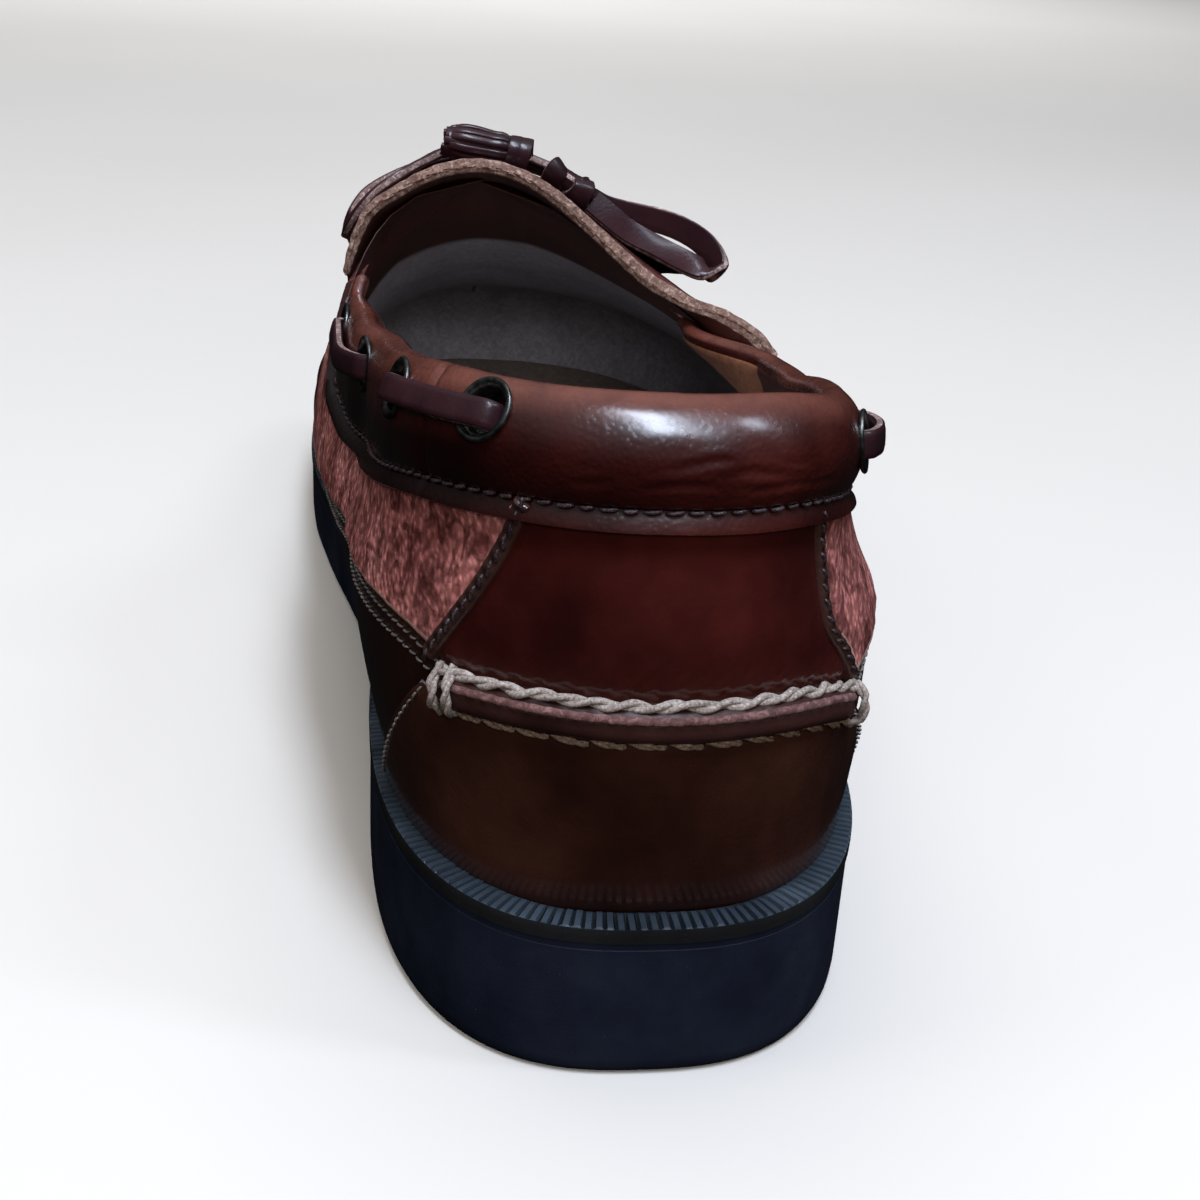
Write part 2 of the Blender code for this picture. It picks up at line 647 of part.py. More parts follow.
# ---------------------------------------------------------------- collar
COLLAR_LIP = COLLAR_THICK / 2  # radius of the rounded top
COLLAR_OUTER_ROWS = 4
COLLAR_LIP_ROWS = 5
COLLAR_FRONT_Y = 116.0
COLLAR_YS = tuple(range(66, 96, 6)) + (96, 101, 106, 110, 113, COLLAR_FRONT_Y)


def raised(rows, lift):
    """A table of heights moved up or down."""
    return tuple(HeightRow(row.y, row.inner_z + lift, row.outer_z + lift) for row in rows)


COLLAR_FOOT = raised(COLLAR_SEAM, 2 * GAP)
COLLAR_SHOULDER = raised(TOP_LINE, -COLLAR_LIP)


def collar_section(station):
    """Outline of the collar at a station: up its outside, over the lip and down its inside."""
    low = height_on(station, COLLAR_FOOT)
    high = max(height_on(station, COLLAR_SHOULDER), low + 0.01)
    frames = [wall_frame(station, t) for t in np.linspace(low, high, COLLAR_OUTER_ROWS + 1)]
    outside = [point for point, normal, upward in frames]
    inside = [point - COLLAR_THICK * normal for point, normal, upward in frames]
    point, normal, upward = frames[-1]
    middle = point - COLLAR_LIP * normal
    lip = []
    for i in range(1, COLLAR_LIP_ROWS):
        angle = math.pi * i / COLLAR_LIP_ROWS
        lip.append(middle + COLLAR_LIP * (math.cos(angle) * normal + math.sin(angle) * upward))
    return outside + lip + inside[::-1]


def collar_stations():
    outer = [s for s in half_round(1, COLLAR_YS) if s.zone != "toe"]
    inner = [s for s in half_round(-1, COLLAR_YS) if s.zone != "toe"]
    return inner[:0:-1] + outer


collar = lofted("collar", [collar_section(s) for s in collar_stations()], COLLAR_LEATHER, shoe)


def eyelet_frame(side, y, below_top):
    """Middle of an eyelet on the collar's outside, with the collar's normal and upward tangent there."""
    station = side_station(side, y, CONTOURS.index(CROWN))
    t = height_on(station, raised(TOP_LINE, -below_top))
    return wall_frame(station, t)


DRILL_LENGTH = 16.0
drills = []
DRILL_SEGMENTS = 12
for number, row in enumerate(COLLAR_EYELETS, 1):
    point, normal, upward = eyelet_frame(*row)
    radius = EYELET_BARREL + GAP
    drill = turned(f"eyelet_drill_{number}", (
        (0.0, -DRILL_LENGTH / 2), (radius, -DRILL_LENGTH / 2),
        (radius, DRILL_LENGTH / 2), (0.0, DRILL_LENGTH / 2),
    ), DRILL_SEGMENTS, None, cutters, closed=False)
    aim(drill, point - COLLAR_LIP * normal, normal)
    cut_with(collar, drill)


# ---------------------------------------------------------------- eyelets
EYELET_SEGMENTS = 12
EYELET_PAST = 0.4  # how far the barrel stands out inside the collar
for number, row in enumerate(COLLAR_EYELETS, 1):
    point, normal, upward = eyelet_frame(*row)
    eyelet = turned(f"eyelet_{number}", (
        (EYELET_HOLE, -COLLAR_THICK - EYELET_PAST),
        (EYELET_BARREL, -COLLAR_THICK - EYELET_PAST),
        (EYELET_BARREL, EYELET_SEAT),
        (EYELET_FLANGE, EYELET_SEAT),
        (EYELET_FLANGE, EYELET_PROUD / 2 + EYELET_SEAT),
        (EYELET_FLANGE - EYELET_CHAMFER, EYELET_PROUD + EYELET_SEAT),
        (EYELET_HOLE + EYELET_CHAMFER, EYELET_PROUD + EYELET_SEAT),
        (EYELET_HOLE, EYELET_PROUD / 2 + EYELET_SEAT),
    ), EYELET_SEGMENTS, EYELET_BRASS, shoe, closed=True)
    aim(eyelet, point, normal)


# ---------------------------------------------------------------- lace runs along the collar
LACE_RISE = EYELET_PROUD + EYELET_SEAT + 0.4  # underside of the lace above the collar
LACE_DIP = 3.0  # how far its ends go into the eyelets
LACE_SPREAD = 1.0  # its ends turn in just inside the hole's far edge
LACE_STEPS = 8
LACE_DIP_SHARES = (1.0, 0.45)
LACE_BACK = 0.1  # the dipping ends lean back from the run
LACE_RUNS = ((0, 1), (2, 3), (4, 5), (6, 7))  # pairs of eyelets joined outside the collar


def lace_run(first, second):
    """Centre line of a run with its normals: in at one eyelet, along the collar, out at the next."""
    start, stop = COLLAR_EYELETS[first], COLLAR_EYELETS[second]
    lift = LACE_RISE + LACE_THICK / 2
    line, normals = [], []
    for i in range(LACE_STEPS + 1):
        share = i / LACE_STEPS
        y = start.y + (stop.y - start.y) * share
        below = start.below_top + (stop.below_top - start.below_top) * share
        point, normal, upward = eyelet_frame(start.side, y, below)
        line.append(point + lift * normal)
        normals.append(normal)
    for index, neighbour in ((0, 1), (-1, -2)):
        toward = unit(line[neighbour] - line[index])
        line[index] = line[index] - LACE_SPREAD * toward
    starts, finishes = [], []
    for index, neighbour, kept in ((0, 1, starts), (-1, -2, finishes)):
        toward = unit(line[neighbour] - line[index])
        for share in LACE_DIP_SHARES:
            depth = share * (LACE_DIP + lift)
            kept.append((line[index] - depth * normals[index] - LACE_BACK * toward, -toward))
    points = [p for p, n in starts] + line + [p for p, n in finishes[::-1]]
    turned_normals = [n for p, n in starts] + normals + [n for p, n in finishes[::-1]]
    turned_normals[2] = unit(turned_normals[1] + normals[0])
    turned_normals[-3] = unit(turned_normals[-2] + normals[-1])
    return points, turned_normals


def strap(name, points, normals, width, thickness, look):
    """A flat strap along a line: its width across the line, its thickness along the normals."""
    sections = []
    for i, (point, normal) in enumerate(zip(points, normals)):
        along = unit(points[min(i + 1, len(points) - 1)] - points[max(i - 1, 0)])
        across = unit(np.cross(normal, along))
        up = unit(np.cross(along, across))
        sections.append([
            point + 0.5 * (a * width * across + b * thickness * up)
            for a, b in ((-1, -1), (1, -1), (1, 1), (-1, 1))
        ])
    return lofted(name, sections, look, shoe)


for number, (first, second) in enumerate(LACE_RUNS, 1):
    points, normals = lace_run(first, second)
    strap(f"lace_run_{number}", points, normals, LACE_WIDTH, LACE_THICK, LACE_LEATHER)


# ---------------------------------------------------------------- tongue and kiltie
def over_ridge(y, edge_t, q, offset):
    """A point of a layer that crosses the ridge: q from -1 at its inner edge to 1 at its outer edge."""
    side = -1 if q < 0 else 1
    t = 1.0 - abs(q) * (1.0 - edge_t)
    point, normal, upward = wall_frame(Station("side", side, y), t)
    return point + offset * normal


def sheet(name, rows, skipped, look, thickness):
    """A sheet through rows of points, thickened towards the shoe, without the faces named in skipped."""
    across = len(rows[0])
    points = [p for row in rows for p in row]
    faces = []
    for r in range(len(rows) - 1):
        for i in range(across - 1):
            if (r, i) not in skipped:
                a = r * across + i
                faces.append((a, a + 1, a + across + 1, a + across))
    made = mesh_object(name, points, faces, look, shoe)
    thicken(made, thickness)
    return made


TONGUE_STEPS = 20
TONGUE_SHARES = (0.0, 0.07, 0.15, 0.24, 0.36, 0.52, 0.68, 0.84, 1.0)  # rows from its rear edge forward
TONGUE_PLAN = {
    column: [HeightRow(edge.q, getattr(edge, column), getattr(edge, column)) for edge in TONGUE_BACK]
    for column in ("y", "rise")
}
tongue_rows = []
for r in range(len(TONGUE_SHARES)):
    row = []
    for i in range(TONGUE_STEPS + 1):
        q = 2.0 * i / TONGUE_STEPS - 1.0
        back, rise = (through(TONGUE_PLAN[column], q, "inner_z") for column in ("y", "rise"))
        y = back + (TONGUE_FRONT_Y - back) * TONGUE_SHARES[r]
        bend = max(0.0, 1.0 - (y - back) / TONGUE_BEND) ** 2
        row.append(over_ridge(y, TONGUE_EDGE_T, q, TONGUE_CLEAR + TONGUE_THICK + rise * bend))
    tongue_rows.append(row)
tongue = sheet("tongue", tongue_rows, set(), TONGUE_LEATHER, TONGUE_THICK)


def kiltie_offset(y):
    """Outer face of the kiltie above the upper: over the tongue, then down on to the vamp."""
    high = TONGUE_CLEAR + TONGUE_THICK + KILTIE_CLEAR + KILTIE_THICK
    low = KILTIE_CLEAR + KILTIE_THICK
    s = min(max((y - KILTIE_DROP_Y[0]) / (KILTIE_DROP_Y[1] - KILTIE_DROP_Y[0]), 0.0), 1.0)
    return high + (low - high) * s * s * (3 - 2 * s)


pitch = 2.0 / FRINGE_STRIPS
kiltie_qs = []
for strip in range(FRINGE_STRIPS):
    kiltie_qs += [-1.0 + strip * pitch, -1.0 + (strip + 1 - FRINGE_GAP_SHARE) * pitch]
kiltie_ys = list(np.linspace(KILTIE_BACK_Y, KILTIE_SLIT_Y, 6))
kiltie_ys += list(np.linspace(KILTIE_SLIT_Y, KILTIE_FRONT_Y, 6))[1:]
kiltie_rows, slots = [], set()
for r, y in enumerate(kiltie_ys):
    row = []
    for i, q in enumerate(kiltie_qs):
        share = max(0.0, (y - KILTIE_SLIT_Y) / (KILTIE_FRONT_Y - KILTIE_SLIT_Y))
        strip_q = -1.0 + (i // 2 + 0.5) * pitch
        real_y = y - KILTIE_ROUND * strip_q**2 * share
        row.append(over_ridge(real_y, KILTIE_EDGE_T, q, kiltie_offset(real_y)))
        if y >= KILTIE_SLIT_Y and i % 2 == 1:
            slots.add((r, i))
    kiltie_rows.append(row)
kiltie = sheet("kiltie", kiltie_rows, slots, KILTIE_LEATHER, KILTIE_THICK)


# ---------------------------------------------------------------- raised seams
def seam_ridge(name, places, look):
    """A rounded bead lying along places on the wall."""
    sections = []
    for station, t in places:
        point, normal, upward = wall_frame(station, t)
        base = point + RIDGE_CLEAR * normal
        sections.append([
            base + across * RIDGE_WIDTH * upward + rise * RIDGE_HEIGHT * normal
            for across, rise in ((-0.5, 0.0), (-0.4, 0.6), (-0.18, 1.0), (0.18, 1.0), (0.4, 0.6), (0.5, 0.0))
        ])
    return lofted(name, sections, look, shoe)


RIDGE_STEPS = 14
heel_places = []
for i in range(RIDGE_STEPS + 1):
    angle = HEEL_RIDGE_HALF_ANGLE * (2.0 * i / RIDGE_STEPS - 1.0)
    station = Station("heel", -1 if angle < 0 else 1, abs(angle))
    heel_places.append((station, height_on(station, HEEL_RIDGE)))
heel_ridge = seam_ridge("heel_ridge", heel_places, OXBLOOD)

apron_places = []
apron_ys = range(int(APRON_START_Y), int(TOE_PIVOT_Y) + 1, APRON_STEP)
for station in half_round(-1, apron_ys) + half_round(1, apron_ys)[::-1]:
    if station.zone == "side":
        apron_places.append((station, APRON_SIDE_T))
    elif station.zone == "toe" and not (station.value == 0.0 and station.side == 1):
        climb = math.cos(station.value) ** 2
        apron_places.append((station, APRON_SIDE_T + (APRON_TIP_T - APRON_SIDE_T) * climb))
apron_ridge = seam_ridge("apron_ridge", apron_places, OXBLOOD)


# ---------------------------------------------------------------- bow, knot and tassels
def bow_point(row):
    return over_ridge(row.y, TONGUE_EDGE_T, row.q, row.height)


def cord(name, rows, diameter, look):
    """A round cord through rows of places, smoothed, as a poly curve with filled caps."""
    places = np.array([bow_point(row) for row in rows])
    padded = np.vstack([2 * places[0] - places[1], places, 2 * places[-1] - places[-2]])
    line = []
    for i in range(1, len(padded) - 2):
        before, a, b, after = padded[i - 1:i + 3]
        for s in (0.0, 0.5):
            line.append(0.5 * (
                2 * a + (b - before) * s + (2 * before - 5 * a + 4 * b - after) * s * s
                + (3 * a - before - 3 * b + after) * s**3
            ))
    line.append(places[-1])
    curve = bpy.data.curves.new(name, "CURVE")
    curve.dimensions = "3D"
    curve.bevel_depth = diameter / 2 * MM
    curve.bevel_resolution = 2
    curve.use_fill_caps = True
    spline = curve.splines.new("POLY")
    spline.points.add(len(line) - 1)
    for spot, place in zip(spline.points, line):
        spot.co = (*(float(v) * MM for v in place), 1.0)
    curve.materials.append(look)
    made = bpy.data.objects.new(name, curve)
    made.location = SHOE_SHIFT
    shoe.objects.link(made)
    return made


bow_outer_loop = cord("bow_outer_loop", BOW_OUTER_LOOP, LACE_CORD, LACE_LEATHER)
bow_inner_loop = cord("bow_inner_loop", BOW_INNER_LOOP, LACE_CORD, LACE_LEATHER)

knot = bpy.data.meshes.new("bow_knot")
ball = bmesh.new()
bmesh.ops.create_uvsphere(ball, u_segments=14, v_segments=8, radius=1.0)
for vert in ball.verts:
    vert.co = Vector((vert.co.x * KNOT_RADIUS, vert.co.y * KNOT_RADIUS, vert.co.z * KNOT_HALF_HEIGHT)) * MM
ball.to_mesh(knot)
ball.free()
knot.materials.append(LACE_LEATHER)
bow_knot = bpy.data.objects.new("bow_knot", knot)
shoe.objects.link(bow_knot)
knot_point = bow_point(KNOT_PLACE)
aim(bow_knot, knot_point, knot_point - bow_point(KNOT_PLACE._replace(height=0.0)))


def tassel(name, head, tip):
    """A tassel with its head's end at one place, pointing to another."""
    made = turned(name, TASSEL, TASSEL_SEGMENTS, LACE_LEATHER, shoe, closed=False)
    aim(made, bow_point(head), bow_point(tip) - bow_point(head))


tassel("tassel_inner", INNER_TASSEL_HEAD, INNER_TASSEL_TIP)
tassel("tassel_outer", OUTER_TASSEL_HEAD, OUTER_TASSEL_TIP)
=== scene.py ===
"""The looks of a right kiltie tassel loafer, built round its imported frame.

Lengths are millimetres in the shoe's own frame until placed() turns them into metres:
x runs to the outer side, y forward from the back of the heel, z up from the floor.
A place on the last is (u, t). t is 0 at the sole and 1 on the ridge. u is 0 at the middle of the heel,
+-1 where the sides begin, +-2 where the toe begins and +-3 at its tip; its sign is the side.
"""

import math
from collections import namedtuple

import bmesh
import bpy
import numpy as np
from mathutils import Matrix, Vector


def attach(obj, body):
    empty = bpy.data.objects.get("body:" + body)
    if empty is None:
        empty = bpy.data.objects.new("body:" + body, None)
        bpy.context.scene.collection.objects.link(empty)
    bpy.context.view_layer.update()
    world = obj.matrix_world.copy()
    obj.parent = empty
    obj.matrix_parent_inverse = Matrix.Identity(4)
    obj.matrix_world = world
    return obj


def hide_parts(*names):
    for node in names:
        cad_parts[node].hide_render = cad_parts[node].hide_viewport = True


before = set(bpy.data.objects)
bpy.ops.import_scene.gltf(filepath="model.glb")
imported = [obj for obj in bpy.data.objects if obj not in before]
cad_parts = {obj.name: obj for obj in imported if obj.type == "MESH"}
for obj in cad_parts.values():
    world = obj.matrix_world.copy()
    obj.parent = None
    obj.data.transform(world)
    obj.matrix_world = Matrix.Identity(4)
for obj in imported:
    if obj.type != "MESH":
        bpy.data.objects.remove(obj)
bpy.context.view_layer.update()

MM = 0.001
SHIFT = np.array([-2.75, -150.0, 0.0])
GAP = 0.3
HEEL_Y, TOE_Y = 66.0, 246.0
rng = np.random.default_rng(11)

# ---------------------------------------------------------------- camera
EYE = np.array([-41.07, -207.2, 161.0])
SIGHT = np.array([-0.02766, 0.93192, -0.3616])
SIGHT_RIGHT = np.array([0.99956, 0.02967, 0.0])
SIGHT_UP = np.array([-0.01073, 0.36146, 0.9323])
LENS, SENSOR = 54.85, 36.0


def unit(v):
    return v / np.maximum(np.linalg.norm(v, axis=-1, keepdims=True), 1e-12)


def clipped(x):
    """Held between 0 and 1."""
    return np.clip(x, 0, 1)


def eased(x):
    """A share from 0 to 1 that starts and stops gently."""
    return x * x * (3 - 2 * x)


def bell(x, width):
    """A hump of height one at 0, for soft swells and hollows."""
    return np.exp(-(x / width) ** 2)


AIM_RIGHT, AIM_DOWN = 0.1655, 0.0342  # turns the view onto the one shoe
look = unit(SIGHT + AIM_RIGHT * SIGHT_RIGHT - AIM_DOWN * SIGHT_UP)
across = unit(np.cross(look, SIGHT_UP))
camera = bpy.data.objects.new("camera", bpy.data.cameras.new("camera"))
camera.data.lens = LENS
camera.data.sensor_width = SENSOR
camera.data.clip_start = 0.01
camera.matrix_world = Matrix.Translation(Vector((EYE + SHIFT) * MM)) @ Matrix(
    np.array([across, np.cross(across, look), -look]).T.tolist()
).to_4x4()
bpy.context.scene.collection.objects.link(camera)
bpy.context.scene.camera = camera

# ---------------------------------------------------------------- the last, as in the CAD part
Row = namedtuple("Row", "y inner_x inner_z outer_x outer_z")
Contour = namedtuple("Contour", "back front round_back round_front rows")


def flat_rows(table):
    return tuple(Row(y, inner, 0.0, outer, 0.0) for y, inner, outer in table)


WELT = Contour((0.0, 0.0), (300.0, 0.0), 2.6, 2.2, flat_rows((
    (66.0, 37.6, 38.8), (100.0, 36.6, 39.8), (130.0, 37.4, 42.6), (160.0, 41.0, 47.8),
    (190.0, 46.2, 52.8), (215.0, 49.6, 55.4), (232.0, 50.4, 55.9), (246.0, 50.2, 55.5),
)))
FEATHER = Contour((5.6, 0.0), (295.8, 0.0), 2.6, 2.2, flat_rows((
    (66.0, 35.0, 36.4), (100.0, 33.6, 36.8), (130.0, 33.8, 39.2), (160.0, 37.2, 44.2),
    (190.0, 42.4, 49.0), (215.0, 45.8, 51.6), (232.0, 46.6, 52.0), (246.0, 46.4, 51.6),
)))
BELLY = Contour((2.0, 54.0), (298.6, 31.0), 2.15, 2.2, (
    Row(66.0, 41.2, 50.0, 40.8, 50.5), Row(85.0, 43.2, 48.0, 43.4, 47.5),
    Row(110.0, 45.2, 44.0, 46.6, 43.5), Row(140.0, 46.8, 39.0, 49.4, 38.5),
    Row(170.0, 48.4, 34.5, 52.6, 33.5), Row(200.0, 49.8, 30.5, 54.8, 29.5),
    Row(228.0, 50.4, 29.0, 55.4, 28.5), Row(246.0, 50.0, 29.0, 54.8, 28.5),
))
SHOULDER = Contour((4.6, 76.0), (291.5, 41.0), 2.3, 2.25, (
    Row(66.0, 38.0, 69.0, 33.2, 66.5), Row(85.0, 41.0, 69.0, 33.6, 64.5),
    Row(110.0, 43.6, 71.0, 37.4, 64.0), Row(140.0, 44.8, 64.0, 41.0, 61.5),
    Row(170.0, 44.4, 54.5, 45.0, 54.0), Row(200.0, 43.8, 47.0, 47.6, 47.0),
    Row(228.0, 42.8, 43.0, 46.8, 43.2), Row(246.0, 41.6, 41.6, 45.2, 42.0),
))
CROWN = Contour((9.5, 96.0), (280.0, 47.5), 2.6, 2.2, (
    Row(66.0, 34.4, 90.5, 29.3, 84.0), Row(85.0, 37.4, 92.5, 27.5, 84.0),
    Row(110.0, 35.0, 96.5, 14.0, 84.5), Row(140.0, 34.0, 87.0, 13.0, 81.0),
    Row(170.0, 32.2, 74.0, 16.0, 73.5), Row(200.0, 30.6, 63.5, 20.0, 63.5),
    Row(228.0, 28.0, 56.0, 22.0, 56.0), Row(246.0, 26.4, 53.0, 22.0, 53.0),
))
SwellRow = namedtuple("SwellRow", "y share")
FOOT_SWELL = (SwellRow(0.0, 1.5), SwellRow(72.0, 1.5), SwellRow(110.0, 0.0), SwellRow(300.0, 0.0))
RidgeRow = namedtuple("RidgeRow", "y x z")
RIDGE = (
    RidgeRow(66.0, -8.0, 113.0), RidgeRow(90.0, -14.0, 110.5), RidgeRow(116.0, -18.0, 104.8),
    RidgeRow(140.0, -16.5, 95.2), RidgeRow(170.0, -14.0, 81.5), RidgeRow(200.0, -11.5, 69.5),
    RidgeRow(228.0, -9.0, 60.5), RidgeRow(246.0, -8.0, 56.5),
)
Height = namedtuple("Height", "y inner_z outer_z")


def heights(*rows):
    """A line's z on both sides by y, where (y, z) means the same on both."""
    return tuple(Height(row[0], row[1], row[-1]) for row in rows)


WELT_TOP = heights(
    (0, 24), (66, 23.8), (95, 22.8), (130, 20), (165, 17.6), (200, 16.6), (235, 17), (270, 19), (300, 22)
)
TOP_LINE = heights(
    (8, 98.6), (22, 97.1, 95.2), (45, 92.6, 90.5), (66, 88.4, 85.5), (88, 85.5, 82.5), (115, 84.5, 82)
)
COLLAR_SEAM = heights(
    (4, 80), (22, 77.5, 76.5), (45, 72, 71), (66, 67.5, 66.5), (86, 65.5, 63.5), (100, 66, 63.5),
    (112, 74, 70), (120, 87, 81), (127, 99, 93), (132, 118),
)
SOLE_BOTTOM = heights(
    (0, 0), (78, 0), (80.5, 12), (100, 10), (130, 5.2), (160, 1), (178, 0), (222, 0), (246, 1.2),
    (275, 5), (300, 10.5),
)
HEEL_RIDGE = heights((2, 54.5), (10, 53.8, 53.0), (22, 52, 49))
HEEL_RIDGE_U = 0.54 / (math.pi / 2)
BackEdge = namedtuple("BackEdge", "y back rise")  # here y is q, a place across the tongue
TONGUE_BACK = tuple(BackEdge(*r) for r in (
    (-1, 117, 1.8), (-0.75, 119, 1.8), (-0.5, 121, 0.5), (0, 122.5, 0), (0.2, 121.8, -0.3), (0.4, 120, -1.0),
    (0.6, 115.3, -1.4), (0.75, 109.5, 0.3), (0.82, 103, 2.6), (0.9, 99, 3.2), (1, 98, 3.0),
))
TONGUE_BEND = 12.0
TONGUE_EDGE_T, KILTIE_EDGE_T = 0.63, 0.70


def through(rows, y, column, level_ends=True):
    """A smooth curve through one column of a table, with no overshoot, constant beyond its ends."""
    ys = np.array([row.y for row in rows], float)
    vs = np.array([getattr(row, column) for row in rows], float)
    steps = np.diff(ys)
    slopes = np.diff(vs) / steps
    tangents = np.zeros(len(vs))
    if not level_ends:
        tangents[0], tangents[-1] = slopes[0], slopes[-1]
    before, after = slopes[:-1], slopes[1:]
    same = before * after > 0
    tangents[1:-1][same] = 2.0 / (1.0 / before[same] + 1.0 / after[same])
    y = np.clip(np.asarray(y, float), ys[0], ys[-1])
    i = np.clip(np.searchsorted(ys, y, side="right") - 1, 0, len(steps) - 1)
    s = (y - ys[i]) / steps[i]
    return (
        vs[i] * (1 + 2 * s) * (1 - s) ** 2 + vs[i + 1] * s * s * (3 - 2 * s)
        + steps[i] * (tangents[i] * s * (1 - s) ** 2 - tangents[i + 1] * s * s * (1 - s))
    )


def welt_top(y):
    return through(WELT_TOP, y, "inner_z")


def sole_top(y):
    return welt_top(y) - 3.1


def sole_bottom(y):
    return through(SOLE_BOTTOM, y, "inner_z")


def by_side(rows, side, y, column):
    return np.where(side < 0, through(rows, y, "inner_" + column), through(rows, y, "outer_" + column))


def split(u):
    """Side, size and the y of the side or pivot for each u, which wraps at the tip of the toe."""
    u = (np.asarray(u, float) + 3) % 6 - 3
    side = np.where(u < 0, -1.0, 1.0)
    size = np.abs(u)
    return side, size, HEEL_Y + (np.clip(size, 1, 2) - 1) * (TOE_Y - HEEL_Y)


def contour_at(contour, u):
    side, size, y = split(u)
    x = side * by_side(contour.rows, side, y, "x")
    z = by_side(contour.rows, side, y, "z")
    toe = size > 2
    angle = np.where(toe, 3 - size, size) * math.pi / 2
    pivot_x = np.where(toe, through(RIDGE, TOE_Y, "x"), 0.0)
    end_y = np.where(toe, contour.front[0], contour.back[0])
    end_z = np.where(toe, contour.front[1], contour.back[1])
    power = np.where(toe, contour.round_front, contour.round_back)
    sine, cosine = np.sin(angle), np.maximum(np.cos(angle), 1e-9)
    wide, long = np.abs(x - pivot_x), np.abs(end_y - y)
    radius = ((sine / wide) ** power + (cosine / long) ** power) ** (-1 / power)
    fan = (size < 1) | toe
    out_x = np.where(fan, pivot_x + side * radius * sine, x)
    out_y = np.where(fan, y + radius * cosine * np.where(toe, 1, -1), y)
    out_z = np.where(fan, end_z * cosine**2 + z * sine**2, z)
    if contour is FEATHER:
        out_z = sole_top(out_y) + GAP
    return np.stack([out_x, out_y, out_z], -1)


def wall(u, t):
    """The outer face of the last at (u, t)."""
    u, t = np.broadcast_arrays(np.asarray(u, float), np.asarray(t, float))
    shape, u, t = u.shape, u.ravel(), t.ravel()
    lines = [contour_at(c, u) for c in (FEATHER, BELLY, SHOULDER, CROWN)]
    _, size, y = split(u)
    top = np.stack([through(RIDGE, y, "x", False), y, through(RIDGE, y, "z", False)], -1)
    slope = (through(RIDGE, y + 1, "z", False) - through(RIDGE, y - 1, "z", False)) / 2
    slope = np.where((size < 1) | (size > 2), 2 * slope, slope)
    swell = through(FOOT_SWELL, lines[0][:, 1], "share")[:, None]
    below = lines[1] - 2 * swell * (lines[1] - lines[0])
    below[:, 2] = 2 * lines[0][:, 2] - lines[1][:, 2]
    past = 2 * top - lines[-1]
    past[:, 2] = lines[-1][:, 2] - 2 * slope * (lines[-1][:, 1] - top[:, 1])
    knots = np.stack([below, *lines, top, past], 1)
    reach = np.clip(t * 4, 0, 4 - 1e-9)
    i = reach.astype(int)
    s = (reach - i)[:, None]
    a, b, c, d = (knots[np.arange(len(u)), i + k] for k in range(4))
    made = 0.5 * (2 * b + (c - a) * s + (2 * a - 5 * b + 4 * c - d) * s * s + (3 * b - a - 3 * c + d) * s**3)
    return made.reshape(shape + (3,))


def bare_normal(u, t):
    toe_t = np.where(np.abs(split(u)[1] - 2.5) < 0.5, np.minimum(t, 0.96), t)
    ahead = wall(u + 0.01, toe_t) - wall(u - 0.01, toe_t)
    upward = wall(u, np.minimum(t + 0.01, 1.0)) - wall(u, np.maximum(t - 0.01, 0.0))
    return unit(np.cross(ahead, upward)), unit(upward)


def wall_frame(u, t):
    """Points of the wall with their outward normals and upward tangents."""
    u, t = np.broadcast_arrays(np.asarray(u, float), np.asarray(t, float))
    normal, upward = bare_normal(u, t)
    share = clipped((t - 0.9) / 0.1)[..., None] ** 2 / 2
    if np.any(share > 0):
        other, _ = bare_normal(-u, t)
        normal = unit((1 - share) * normal + share * other)
    return wall(u, t), normal, upward


def bisected(is_low, low, high, steps=26):
    """Where a condition stops holding between two values, or two arrays of them."""
    for _ in range(steps):
        middle = (low + high) / 2
        under = is_low(middle)
        low, high = np.where(under, middle, low), np.where(under, high, middle)
    return (low + high) / 2


def t_at(u, rows, lift):
    """t where the wall crosses a line whose height is tabled by y."""
    u = np.asarray(u, float)
    side = split(u)[0]

    def under(t):
        p = wall(u, t)
        return p[..., 2] < by_side(rows, side, p[..., 1], "z") + lift

    return bisected(under, np.full(u.shape, 0.08), np.full(u.shape, 1.0))


grid_u, grid_t = np.meshgrid(np.linspace(-3, 3, 361), np.linspace(0, 1, 61), indexing="ij")
grid_p = wall(grid_u, grid_t)


def locate(points, weights=(1, 1, 1)):
    """(u, t) of the places on the wall nearest to points."""
    found, weights = [], np.array(weights, float)
    for p in np.atleast_2d(np.array(points, float)):
        far = (((grid_p - p) * weights) ** 2).sum(-1) + (grid_p[..., 1] - p[1]) ** 2 * 1e-4
        k = np.unravel_index(np.argmin(far), far.shape)
        u, t = grid_u[k], grid_t[k]
        for _ in range(6):
            here = wall(u, t)
            du = (wall(u + 1e-3, t) - here) * 1e3 * weights
            dt = (wall(u, min(t + 1e-3, 1.0)) - here) / max(min(t + 1e-3, 1.0) - t, 1e-6) * weights
            step, *_ = np.linalg.lstsq(np.stack([du, dt], 1), (p - here) * weights, rcond=None)
            step = np.clip(step, -0.05, 0.05)
            u, t = u + step[0], float(np.clip(t + step[1], 0.0, 0.999))
        found.append((u, t))
    return np.array(found)


def side_u(side, y):
    return side * (1 + (np.asarray(y, float) - HEEL_Y) / (TOE_Y - HEEL_Y))


def smooth(points, steps):
    """A Catmull-Rom line through points."""
    p = np.array(points, float)
    p = np.vstack([2 * p[0] - p[1], p, 2 * p[-1] - p[-2]])
    line = []
    for i in range(1, len(p) - 2):
        a, b, c, d = p[i - 1:i + 3]
        for s in np.arange(steps) / steps:
            line.append(0.5 * (2 * b + (c - a) * s + (2 * a - 5 * b + 4 * c - d) * s * s
                               + (3 * b - a - 3 * c + d) * s**3))
    return np.array(line + [p[-2]])


